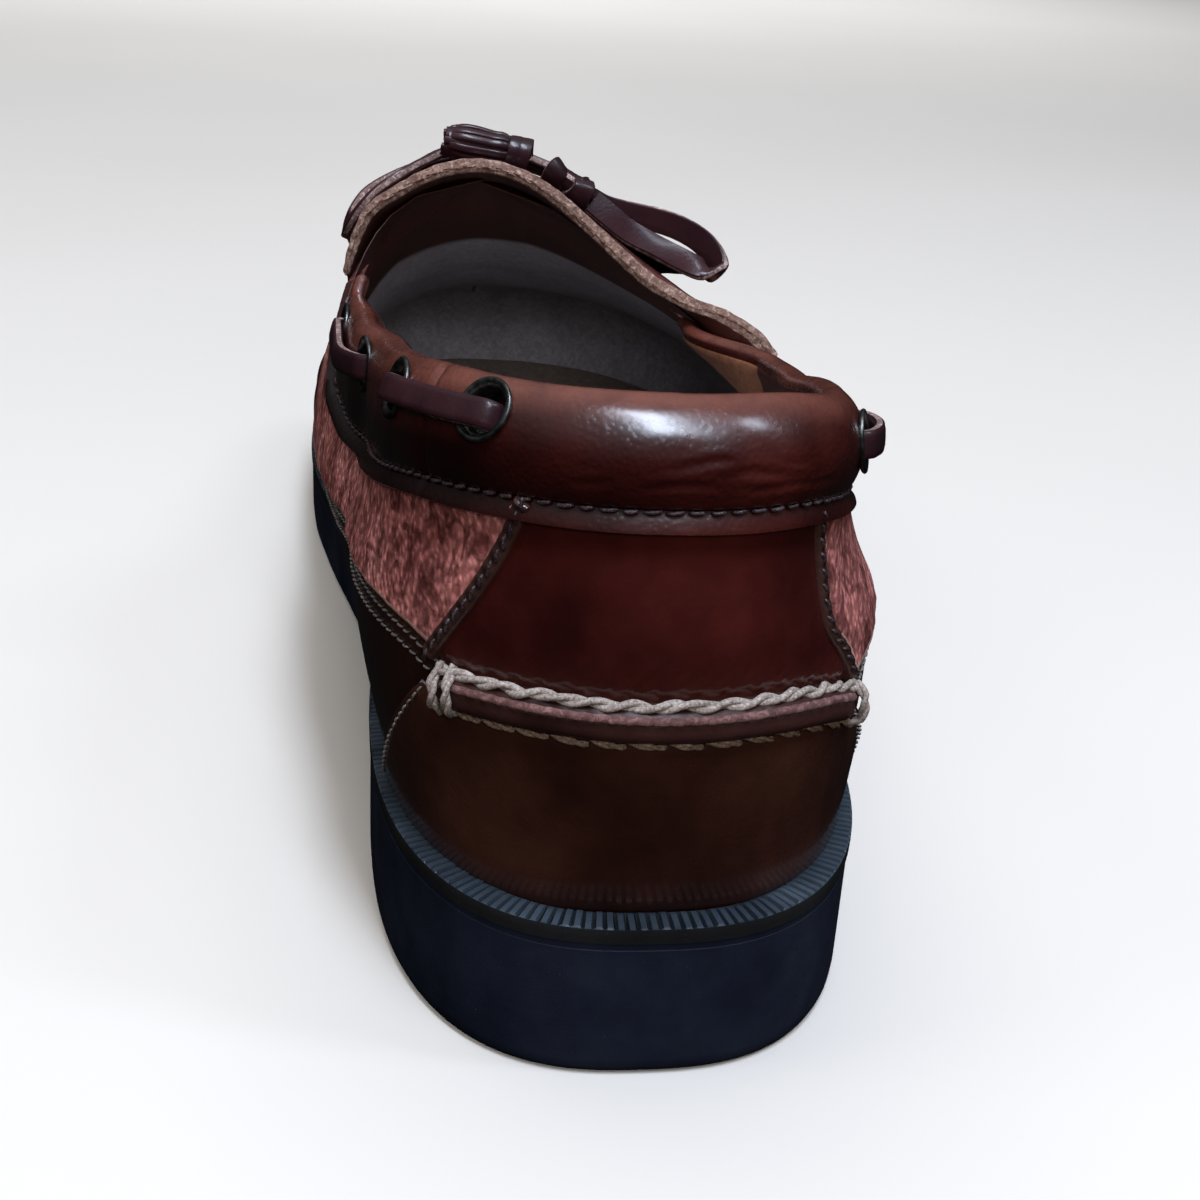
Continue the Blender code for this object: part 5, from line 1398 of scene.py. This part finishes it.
def wrapped_end(name, u0, turn, count, steps=22):
    """Turns of cord that bind an end of the heel's raised seam."""
    parts = []
    for k in range(count):
        v = np.linspace(3.9, -3.5, steps)
        us = u0 + turn * k * 0.027 + turn * 0.012 * np.sin(np.linspace(0, 3, steps))
        p, normal, upward = wall_frame(*heel_line(us, 0.0).T)
        hump = np.interp(v, (-3.6, -2.6, -1.8, 0, 1.9, 2.7, 3.9), (0.4, 1.5, 2.7, 3.2, 2.9, 1.9, 0.6))
        centre = p + v[:, None] * upward + hump[:, None] * normal
        along = unit(np.gradient(centre, axis=0))
        side = unit(np.cross(normal, along))
        up = np.cross(along, side)
        for ply in range(2):
            angle = np.linspace(0, 7.5, steps) + ply * np.pi + k
            path = centre + 0.34 * (np.cos(angle)[:, None] * side + np.sin(angle)[:, None] * up)
            parts.append(sweep(path, up, ring(0.44, 8)))
    cordage(name, *joined(parts), cord_look, ["heel_ridge"])


wrapped_end("heel_cord_end_inner", -HEEL_RIDGE_U * 0.97, 1, 2)
wrapped_end("heel_cord_end_outer", HEEL_RIDGE_U * 0.99, -1, 1)

# apron: the plug inside the toe's raised seam
apron_us = np.linspace(side_u(1, 150.0), 6 - side_u(1, 150.0), 230)
shares = np.concatenate([[0.0, 0.02, 0.05, 0.09], np.linspace(0.14, 1, 44)])
edge_t = apron_t(apron_us)
edge_t = np.where(split(apron_us)[1] < 1 + (170 - HEEL_Y) / (TOE_Y - HEEL_Y), 0.60, edge_t)[:, None] + 0.012
p, normal, upward = wall_frame(*np.moveaxis(grid_of(apron_us, edge_t + (1 - edge_t) * shares[None]), -1, 0))
run, inward = runs(p[:, :1]), runs(p, 1)
APRON_CREASES = [
    ([at(-1, 206, 0.70), at(-1, 210, 0.86), at(1, 210, 0.97), at(1, 207, 0.80)], 2.2, 0.55),
    ([at(-1, 214, 0.68), at(-1, 219, 0.84), at(-1, 221, 0.98)], 2.0, 0.45),
    ([at(1, 215, 0.70), at(1, 219, 0.85), at(1, 222, 0.96)], 2.2, 0.4),
]
gather = 0.5 + 0.5 * np.cos(2 * np.pi * run / GATHER_PITCH)
lift = (0.45 - 0.8 * bell(inward, 1.8) - 0.35 * np.exp(-inward / 2.5) * gather
        + 1.1 * (1 - bell(inward, 9)) + creased(p, APRON_CREASES))
points, faces, kinds, used = closed_sheet(p + lift[..., None] * normal, p - 0.65 * normal)
mesh_piece("apron_plug", points, faces, [oxblood, raw_dark, lining_look], UPPER_SLOT, ["apron_ridge"], kinds)

seam_us = np.linspace(side_u(1, 162.0), 6 - side_u(1, 162.0), 60)
seam_line = np.stack([seam_us, apron_t(seam_us) - 0.005], 1)
raised_seam("apron_seam_ridge", seam_line, ["apron_ridge"], ends=6.0, step=1.0)
p, normal, upward = wall_frame(*seam_line.T)


def round_toe(points):
    """locate() with u running on past the tip of the toe."""
    found = locate(points)
    found[:, 0] = np.where(found[:, 0] < 0, found[:, 0] + 6, found[:, 0])
    return found


row_of("apron_cord_upper", round_toe(p + 3.6 * upward), 6.0, BIG_ROPE, cord_look, ["apron_ridge"], 1.0, 0.10)
row_of("apron_cord_lower", round_toe(p - 3.3 * upward), 6.0, LENS_ROPE, cord_look, ["apron_ridge"], 0.3, 0.10)

# ---------------------------------------------------------------- collar
COLLAR_US = np.concatenate([
    side_u(-1, np.linspace(117.5, 66.0, 62))[:-1], np.linspace(-1, 1, 190), side_u(1, np.linspace(66.0, 117.5, 62))[1:],
])
STRIP_TALL = 3.0
foot_t = t_at(COLLAR_US, COLLAR_SEAM, -0.1)
shoulder_t = np.maximum(t_at(COLLAR_US, TOP_LINE, -2.6), foot_t + 0.02)
outer_rows = np.concatenate([[0, 0.01, 0.025, 0.05, 0.09, 0.14, 0.19, 0.23], np.linspace(0.26, 1, 30)])
ut = grid_of(COLLAR_US, foot_t[:, None] + (shoulder_t - foot_t)[:, None] * outer_rows[None])
p, normal, upward = wall_frame(ut[..., 0], ut[..., 1])
height, run = runs(p, 1), runs(p[:, :1])
run = run - np.interp(0.0, COLLAR_US, run[:, 0])
tall = height[:, -1:]


def heel_spot(x, z):
    """A place on the back of the collar, by its x and z."""
    u, t = locate([(x, 6.0 + x * x / 90.0, z)], (1, 0.02, 1))[0]
    return wall(u, t)


COLLAR_CREASES = [
    ([heel_spot(3, 87.3), heel_spot(8, 88.6), heel_spot(13, 87.6), heel_spot(19, 87.0)], 0.50, 0.24),
    ([heel_spot(-6, 86.3), heel_spot(0, 87.0), heel_spot(5, 86.6)], 0.5, 0.24),
    ([heel_spot(8, 86.0), heel_spot(14, 86.4), heel_spot(21, 85.2)], 0.5, 0.28),
    ([heel_spot(-2, 88.6), heel_spot(4, 89.9), heel_spot(7, 89.2)], 0.45, 0.18),
    ([heel_spot(12, 89.2), heel_spot(17, 88.4)], 0.45, 0.16),
    ([heel_spot(-14, 86.2), heel_spot(-9, 87.0)], 0.5, 0.18),
]
collar_side = split(COLLAR_US)[0]
place_y = p[:, 0, 1]
after_stitch = np.clip(height - STRIP_TALL, 0, None)
swell = 1.0 - np.exp(-(after_stitch / 2.4) ** 1.3)
fall = clipped((height - (tall - 3.2)) / 3.2)
roll = np.interp(height, (0.0, 0.25, 0.55, 0.9, 1.2, 2.5, 3.0), (0.10, 1.05, 1.60, 1.82, 1.76, 0.50, 0.22))
face = 0.30 + 0.60 * swell - 0.45 * fall**2
lift = np.where(height < STRIP_TALL, roll, face)
lift = lift - 0.45 * bell(height - STRIP_TALL - 0.15, 0.40)
crimp = 0.5 + 0.5 * np.cos(2 * np.pi * run / 3.1)
lift = lift - 0.14 * crimp * bell(height - STRIP_TALL - 0.5, 0.8)
lift = lift - 0.06 * crimp * bell(height - STRIP_TALL + 0.7, 0.6)
lift = lift + (0.10 * wander(run + 0.3 * height, 51, 22) + 0.05 * wander(run - height, 52, 9) * (1 - fall)) * swell
lift = lift + creased(p, COLLAR_CREASES)
join = np.exp(-((run - np.interp(locate([(-30.2, 24.3, 84.0)])[0, 0], COLLAR_US, run[:, 0])) / 0.45) ** 2)
lift = lift - 0.50 * join * clipped(height / 3)
front_end = clipped((place_y - 104.0) / 12.0)[:, None]
lift = lift - 0.45 * front_end
outside = p + lift[..., None] * normal
shoulder, out_n, out_up = p[:, -1], normal[:, -1], upward[:, -1]
lip_places = np.array([9.0, 14.0, 24.0, 40.0, 92.0, 117.0])
lip_inner = np.interp(place_y, lip_places, (-3.6, -4.0, -5.4, -5.8, -5.4, -2.4))
lip_outer = np.interp(place_y, lip_places, (-3.6, -3.6, -3.7, -4.2, -4.4, -2.4))
lip_in = np.where(collar_side < 0, lip_inner, lip_outer)
out_lift = lift[:, -1]
centre = shoulder + ((out_lift + lip_in) / 2)[:, None] * out_n
radius = (out_lift - lip_in) / 2
lip_rise = np.minimum(radius, 2.6)
angles = np.linspace(0, np.pi, 14)[1:-1]
lip = (centre[:, None] + radius[:, None, None] * np.cos(angles)[None, :, None] * out_n[:, None]
       + lip_rise[:, None, None] * np.sin(angles)[None, :, None] * out_up[:, None])
inner_rows = np.linspace(1, 0, 20)
inner_t = foot_t[:, None] + (shoulder_t - foot_t)[:, None] * inner_rows[None]
pi, ni, _ = wall_frame(COLLAR_US[:, None], inner_t)
depth_in = lip_in[:, None] * (1 - 0.48 * (1 - inner_rows[None]) ** 2)
inside = pi + (depth_in + 0.18 * wander(run[:, :1] + 3 * inner_rows[None], 61, 26))[..., None] * ni
grid = np.concatenate([outside, lip, inside], 1)
n, k = grid.shape[:2]
faces = tube_faces(n, k, flip=True).tolist()
rows_out = outside.shape[1]
lining_row = rows_out + 9  # over the lip and inside, where the leather gives way to the lining
sock = (collar_side > 0) & (place_y > 84.0)
kinds = [(3 if sock[f[0] // k] else 2) if f[0] % k >= lining_row else 0 for f in faces]
kinds = [1 if f[0] % k == k - 1 else kind for f, kind in zip(faces, kinds)]
faces += [list(range(k)), list(range((n - 1) * k, n * k))]
kinds += [0, 0]
# Lighter on the lip, on the face just under it and on the top of the roll under the stitches: partly rubbed wear,
# partly painted highlight where light from above falls.
wear_and_highlight = np.zeros((n, k))
wear_and_highlight[:, rows_out - 2:rows_out + 7] = 0.75
wear_and_highlight[:, rows_out - 8:rows_out - 2] = np.linspace(0.05, 0.6, 6)
wear_and_highlight[:, 1:3] = 0.5
# Painted shade: darker in the groove at the stitches, in the gap under the roll, and on the inner side below its top.
shade = np.zeros((n, k))
shade[:, :rows_out] = 0.8 * np.maximum(bell(height - STRIP_TALL - 0.1, 0.5), bell(height, 0.5))
inner_side_shade = clipped((place_y - 9.0) / 8.0)[:, None] * (collar_side < 0)[:, None]
shade[:, :rows_out] = np.maximum(shade[:, :rows_out], 0.8 * inner_side_shade * clipped((tall - height - 6.5) / 2.5))
collar = mesh_piece("collar_roll", grid.reshape(-1, 3), faces, [collar_look, raw_dark, under_look, sock_look],
                    COLLAR_SLOT, ["collar"], kinds, marks={"wear_and_highlight": wear_and_highlight, "shade": shade}, sharp=50.0)

stitch_us = COLLAR_US[3:-3:6]
stitch_line = np.stack([stitch_us, t_at(stitch_us, COLLAR_SEAM, STRIP_TALL + 0.05)], 1)
row_of("collar_stitch", stitch_line, 2.8, COLLAR_STITCH, thread_mid, ["collar"], 0.08, 0.12, slot=COLLAR_SLOT)

# ---------------------------------------------------------------- eyelets and laces
COLLAR_EYELETS = (  # side, y, distance below the top line
    (-1, 18.0, 5.9), (-1, 38.0, 5.8), (-1, 72.0, 5.5), (-1, 103.0, 5.5),
    (1, 28.0, 8.5), (1, 54.0, 8.5), (1, 74.0, 8.5), (1, 92.0, 8.5),
)


def side_station(side, y):
    """u on one side where the crown line lies at y."""
    if y >= HEEL_Y:
        return side_u(side, y)
    return side * bisected(lambda size: contour_at(CROWN, np.array(side * size))[1] < y, 0.0, 1.0, 30)


def eyelet_frame(side, y, below_top):
    u = side_station(side, y)
    return wall_frame(u, t_at(u, TOP_LINE, -below_top))


def circle(across, upward, count):
    angles = 2 * np.pi * np.arange(count) / count
    return np.cos(angles)[:, None] * across + np.sin(angles)[:, None] * upward


EYELET_ROWS = (  # radius and height above the collar's nominal face
    (2.95, -3.0), (3.35, -3.0), (3.45, 0.2), (4.05, 0.45), (4.38, 0.66), (4.48, 0.92), (4.38, 1.16), (4.12, 1.28),
    (3.80, 1.20), (3.45, 0.98), (3.15, 0.60), (3.0, 0.10), (2.95, -0.5),
)
DRILL_RADIUS, DRILL_SIDES = 3.5, 24
parts, drills = [], []
for side, y, below_top in COLLAR_EYELETS:
    point, normal, upward = eyelet_frame(side, y, below_top)
    across_eyelet = unit(np.cross(normal, upward))
    around = circle(across_eyelet, upward, 40)
    grid = np.stack([point + r * around + h * normal for r, h in EYELET_ROWS], 1)
    parts.append((grid.reshape(-1, 3), tube_faces(*grid.shape[:2], wrap=True, flip=True).tolist()))
    rim = point + DRILL_RADIUS * circle(across_eyelet, upward, DRILL_SIDES)
    ends = [list(range(DRILL_SIDES)), list(range(DRILL_SIDES, 2 * DRILL_SIDES))]
    drills.append((np.concatenate([rim - 3.1 * normal, rim + 5.0 * normal]),
                   tube_faces(2, DRILL_SIDES).tolist() + ends))
mesh_piece("eyelets_brass", *joined(parts), [brass_look], BRASS_SLOT, [f"eyelet_{i}" for i in range(1, 9)],
           merge=0, sharp=55.0)
bored(collar, drills, "collar_drill")

# how a lace turns in through an eyelet: depth, distance past the edge, lean of its outer face
LACE_TURN_REACH = 1.45
LACE_TURN = ((4.7, 0.1, 0.05), (3.4, 0.1, 0.1), (2.0, 0.0, 0.3), (0.95, -0.25, 0.9), (0.2, -0.85, 2.2))


def lace_run(name, first, second, bulge, lean, node):
    """A lace from inside one eyelet, along the outside of the collar and into the next."""
    (side, y0, below0), (_, y1, below1) = COLLAR_EYELETS[first], COLLAR_EYELETS[second]
    line, normals = [], []
    for s in np.linspace(-0.02, 1.02, 26):
        point, normal, upward = eyelet_frame(side, y0 + (y1 - y0) * s, below0 + (below1 - below0) * s)
        rise = 2.0 + bulge * math.sin(math.pi * clipped(s)) ** 0.8
        line.append(point + rise * normal + (lean * (0.5 - s) - 0.5) * upward)
        normals.append(normal)
    line, normals = np.array(line), np.array(normals)
    along = unit(np.gradient(line, axis=0))
    ends = []
    for k, way in ((0, -1), (-1, 1)):
        edge_point = line[k] + way * LACE_TURN_REACH * along[k]
        part = [(edge_point + way * out * along[k] - d * normals[k], unit(way * along[k] + lie * normals[k]))
                for d, out, lie in LACE_TURN]
        ends.append(part if k == 0 else part[::-1])
    points = np.array([q for q, n in ends[0]] + list(line) + [q for q, n in ends[1]])
    tops = unit(np.array([n for q, n in ends[0]] + list(normals) + [n for q, n in ends[1]]))
    line, normals = even_strap(points, tops, 4, 0.5)
    lace(name, line, normals, node, 3.9, 1.5, 0.10 * np.sin(np.linspace(0, 3.1, len(line))))


lace_run("lace_inner_back", 0, 1, 0.1, -0.6, "lace_run_1")
lace_run("lace_inner_front", 2, 3, 0.4, 0.2, "lace_run_2")
lace_run("lace_outer_back", 4, 5, 1.2, 0.3, "lace_run_3")
lace_run("lace_outer_front", 6, 7, 0.8, -0.3, "lace_run_4")


# ---------------------------------------------------------------- tongue and kiltie
def rough(a, b, seed, wave):
    """An uneven surface of size one over two lengths, for cut leather."""
    r = np.random.default_rng(seed)
    total = 0.0
    for _ in range(7):
        angle, size, start = r.uniform(0, np.pi), r.uniform(0.6, 1.8), r.uniform(0, 2 * np.pi)
        total = total + np.sin(2 * np.pi * (np.cos(angle) * a + np.sin(angle) * b) / (wave * size) + start)
    return total / 4


TONGUE_FRONT = 160.0
qs = np.sort(np.concatenate([np.linspace(-1, 1, 250), [-0.998, -0.994, 0.994, 0.998]]))
back = through(TONGUE_BACK, qs, "back")
rise = through(TONGUE_BACK, qs, "rise")
shares = np.concatenate([[0, 0.0025, 0.006, 0.011, 0.017, 0.025, 0.035, 0.05], np.linspace(0.07, 1, 30)])
ys = back[None] + (TONGUE_FRONT - back)[None] * shares[:, None]
q_grid = np.repeat(qs[None], len(shares), 0)
p, normal = over_ridge(ys, q_grid, TONGUE_EDGE_T)
near = edge_distance(p)
d = np.minimum(near[0], np.minimum(near[2], near[3]))
bend = rise[None] * clipped(1 - (ys - back[None]) / TONGUE_BEND) ** 2
bend = bend * (1 - 0.6 * clipped((-0.72 - qs[None]) / 0.28))
worn_edge = np.exp(-near[0] / 1.2)
slim = clipped((-0.62 - q_grid) / 0.38)
lift = 3.3 - 1.5 * slim - rounded(d, 0.9) + bend + 0.3 * wander(near[2], 72, 24) * np.exp(-near[0] / 9)
lift = lift + 0.16 * rough(near[2], 2 * near[0], 71, 2.2) * worn_edge
under_lift = 0.7 + rounded(d, 0.7) + bend + 0.14 * rough(near[2], 2 * near[0], 73, 2.0) * worn_edge
ragged = 0.22 * rough(near[2], 0.0, 74, 2.6) + 0.12 * rough(near[2], 0.0, 75, 1.1)
backward = np.array([0.0, -1.0, 0.0])
top = p + lift[..., None] * normal + (ragged * worn_edge)[..., None] * backward
bottom = p + under_lift[..., None] * normal + (0.8 * ragged * worn_edge)[..., None] * backward
n, m = top.shape[:2]
edge_rows = []
for share in (0.2, 0.4, 0.6, 0.8):
    height = lift[0] + (under_lift[0] - lift[0]) * share
    out = 0.35 * math.sin(math.pi * share) + 0.20 * rough(near[2][0], 5.0 * share, 76, 1.6)
    edge_rows.append(p[0] + height[:, None] * normal[0] + (ragged[0] + out)[:, None] * backward)
grid = np.concatenate([bottom[::-1], np.array(edge_rows)[::-1], top])
count = len(grid)
faces = grid_faces(count, m)
row_of_face = faces[:, 0] // m
faces = faces.tolist()
kinds = np.where(row_of_face < n - 4, 2, np.where(row_of_face < n + 8, 1, 0)).tolist()
for column in (0, m - 1):  # the two side edges and the front
    for k in range(n - 1):
        low, high = (n - 1 - k) * m + column, (n + 4 + k) * m + column
        faces.append([low, low - m, high + m, high])
        kinds.append(1)
for column in range(m - 1):
    faces.append([column, column + 1, (count - 1) * m + column + 1, (count - 1) * m + column])
    kinds.append(1)
for column in (0, m - 1):
    faces.append([(n - 1 + k) * m + column for k in range(6)])
    kinds.append(1)
wear_and_highlight = np.zeros(grid.shape[:2])
wear_and_highlight[-n:] = 0.8 * np.exp(-d / 2)
mesh_piece("tongue_flap", grid.reshape(-1, 3), faces, [oxblood, raw_tan, under_look], TONGUE_SLOT, ["tongue"], kinds,
           marks={"wear_and_highlight": wear_and_highlight}, merge=0.002)

KILTIE_BACK, FRINGE_ROOT, KILTIE_TIP = 136.0, 168.0, 206.0
KILTIE_LIFT, FRINGE_LIFT = 6.2, 2.6
STRIPS, GAP_SHARE = 11, 0.12
pitch = 2.0 / STRIPS
qs, strip_of, in_gap = [], [], []
for strip in range(STRIPS):
    start, stop = -1 + strip * pitch, -1 + (strip + 1 - GAP_SHARE) * pitch
    for f in (0, 0.06, 0.2, 0.4, 0.6, 0.8, 0.94, 1.0):
        qs.append(start + f * (stop - start))
        strip_of.append(strip)
        in_gap.append(f == 1.0)
qs, strip_of, in_gap = np.array(qs), np.array(strip_of), np.array(in_gap)
ys = np.concatenate([
    [KILTIE_BACK, 136.2, 136.6, 137.4], np.linspace(139, FRINGE_ROOT, 18), np.linspace(169.5, 204.6, 26),
    [205.3, 205.8, KILTIE_TIP],
])
share = clipped((ys - FRINGE_ROOT) / (KILTIE_TIP - FRINGE_ROOT))
strip_q = -1 + (strip_of + 0.5) * pitch
real_y = (ys[:, None] - 9.0 * strip_q[None] ** 2 * share[:, None]
          + 0.8 * wander(strip_of * 7.3, 81, 13)[None] * share[:, None])
curl = clipped((qs[None] - 0.30) / 0.3) * clipped((150 - real_y) / 14) ** 2
real_y = real_y - 9.0 * curl
fall = clipped((real_y - 161) / 16)
offset = KILTIE_LIFT + (FRINGE_LIFT - KILTIE_LIFT) * eased(fall) + 2.0 * curl
q_grid = np.repeat(qs[None], len(ys), 0)
p, normal = over_ridge(real_y, q_grid, KILTIE_EDGE_T)
lifted = np.array([0.2, 1.6, 0.5, 1.1, 0.3, 1.9, 0.6, 1.3, 0.25, 1.0, 0.5])[strip_of]
inside_strip = (qs - (-1 + strip_of * pitch)) / (pitch * (1 - GAP_SHARE))
crown = 0.35 * np.sin(np.pi * clipped(inside_strip)) - 0.35
corner = crown[None] * np.where(ys > FRINGE_ROOT, 1.0, 0.25 * clipped((ys - 150) / 18))[:, None]
lifted = lifted[None] * share[:, None] ** 2
lift = offset + lifted + corner - rounded(np.minimum(ys - KILTIE_BACK, KILTIE_TIP - ys), 0.6)[:, None]
top = p + lift[..., None] * normal
bottom = p + (offset - 2.0 + lifted + 0.1)[..., None] * normal
keep = ~((ys[:-1] >= FRINGE_ROOT - 0.1)[:, None] & in_gap[None, :-1])
points, faces, kinds, used = closed_sheet(top, bottom, keep)
wear_and_highlight = 0.25 + 0.5 * (np.abs(inside_strip - 0.5) > 0.4)[None] * share[:, None]
mesh_piece("kiltie_fringe", points, faces, [oxblood, raw_tan, raw_dark], KILTIE_SLOT, ["kiltie"], kinds,
           marks={"wear_and_highlight": np.concatenate([wear_and_highlight.ravel()] * 2)[used]})

# ---------------------------------------------------------------- knot and tassels
(knot_middle,), (knot_up,) = bow_points([KNOT_ROW])
(knot_ahead,), _ = bow_points([(KNOT_ROW[0], KNOT_ROW[1] + 0.1, KNOT_ROW[2])])
knot_across = unit(knot_ahead - knot_middle)
knot_along = unit(np.cross(knot_up, knot_across))
KNOT_STRAP = strap_section(4.0, 1.4)
KNOT_TURNS = (  # place along the bow, radii across the turn, lean of the turn, start
    (-2.9, (3.3, 1.7), 0.30, 0.3), (1.2, (3.6, 1.9), -0.25, 1.6), (3.6, (3.1, 1.7), 0.5, 0.6),
)
parts = []
for place, radii, lean, start in KNOT_TURNS:
    angle = np.linspace(start, start + 2 * np.pi * 1.08, 52)
    line = (knot_middle + np.outer(place + lean * radii[0] * np.cos(angle), knot_across)
            + np.outer(radii[0] * np.cos(angle + 0.2), knot_along) + np.outer(radii[1] * np.sin(angle) - 0.9, knot_up))
    normals = unit(line - knot_middle - np.outer((line - knot_middle) @ knot_across, knot_across))
    parts.append(sweep(line, normals, KNOT_STRAP))
core = np.linspace(-5.0, 5.4, 14)
core_size = np.sqrt(np.maximum(1 - (core / 6.2) ** 2, 0.05))
parts.append(sweep(knot_middle + np.outer(core, knot_across) - 0.4 * knot_up, np.tile(knot_up, (14, 1)),
                   ring(3.3, 14, 0.62), core_size))
points, faces = joined(parts)
strap_piece("bow_knot_lace", points, faces, lace_kinds(faces, len(KNOT_STRAP)), "bow_knot", sharp=40.0)


STRANDS, SKIRT_LENGTH = 22, 16.6


def tassel(name, head, tip, node, lead=None):
    """A bound head with a skirt of cut strips, and the lace that it hangs on."""
    head, tip = np.array(head, float), np.array(tip, float)
    axis = unit(tip - head)
    side = unit(np.cross(axis, [0.1, 0.2, 1.0]))
    up = np.cross(side, axis)
    parts = []
    angle = np.linspace(0, 2 * np.pi * 2.3, 80)
    radius = np.interp(angle / angle[-1], (0, 0.12, 0.9, 1), (2.0, 2.75, 2.75, 2.5))
    line = head + np.outer(0.7 + angle / angle[-1] * 4.2, axis) + radius[:, None] * (
        np.cos(angle)[:, None] * side + np.sin(angle)[:, None] * up)
    outward = unit(line - head - np.outer((line - head) @ axis, axis))
    parts.append(sweep(line, outward, strap_section(2.4, 0.7, 0.2, 0.05)))
    s = np.linspace(0, 1, 12)
    core_r = np.array([0.4, 1.6, 2.3, 2.5, 2.5, 2.3, 2.3, 2.4, 2.5, 2.6, 2.7, 2.7])
    parts.append(sweep(head + np.outer(s * 15.4, axis), np.tile(up, (12, 1)), ring(1.0, 14), core_r))
    for k in range(STRANDS):
        layer = k % 2
        a = 2 * np.pi * k / STRANDS + rng.uniform(-0.06, 0.06)
        reach = SKIRT_LENGTH * rng.uniform(0.95, 1.0) - 1.6 * (1 - layer)
        open_r = rng.uniform(3.15, 3.6) - 0.85 * layer
        s = np.linspace(0, 1, 14)
        waist = 2.1 - 0.4 * layer
        radius = (waist + (open_r - 2.1 + 0.4 * layer) * s**0.6 + 0.35 * bell(s - 0.12, 0.1)
                  - (0.9 - 0.4 * layer) * s**7)
        a_line = a + 0.12 * rng.uniform(-1, 1) * s**1.5
        out = np.cos(a_line)[:, None] * side + np.sin(a_line)[:, None] * up
        line = head + np.outer(4.4 + s * (reach - 4.4), axis) + radius[:, None] * out
        parts.append(sweep(line, out, strap_section(1.45, 0.95, 0.3, 0.06), twist=0.3 * rng.uniform(-1, 1) * s))
    if lead is not None:
        parts.append(sweep(*lead, strap_section(3.6, 1.4)))
    points, faces = joined(parts)
    strap_piece(name, points, faces, [1 if len(f) > 4 else 0 for f in faces], node)


inner_ends, _ = bow_points([(129.0, 0.149, 7.3), (129.0, -0.128, 7.9)])
tassel("tassel_inner_strands", *inner_ends, "tassel_inner")
outer_ends, _ = bow_points([(147.0, 0.25, 9.5), (163.0, 0.31, 10.5)])
lead_points, lead_up = bow_points([
    (131.5, 0.27, 6.6), (135.5, 0.26, 8.0), (139.0, 0.25, 9.0), (143.0, 0.25, 9.4), (147.6, 0.25, 9.5),
])
tassel("tassel_outer_strands", *outer_ends, "tassel_outer", lead=even_strap(lead_points, lead_up, 6, 0.8))
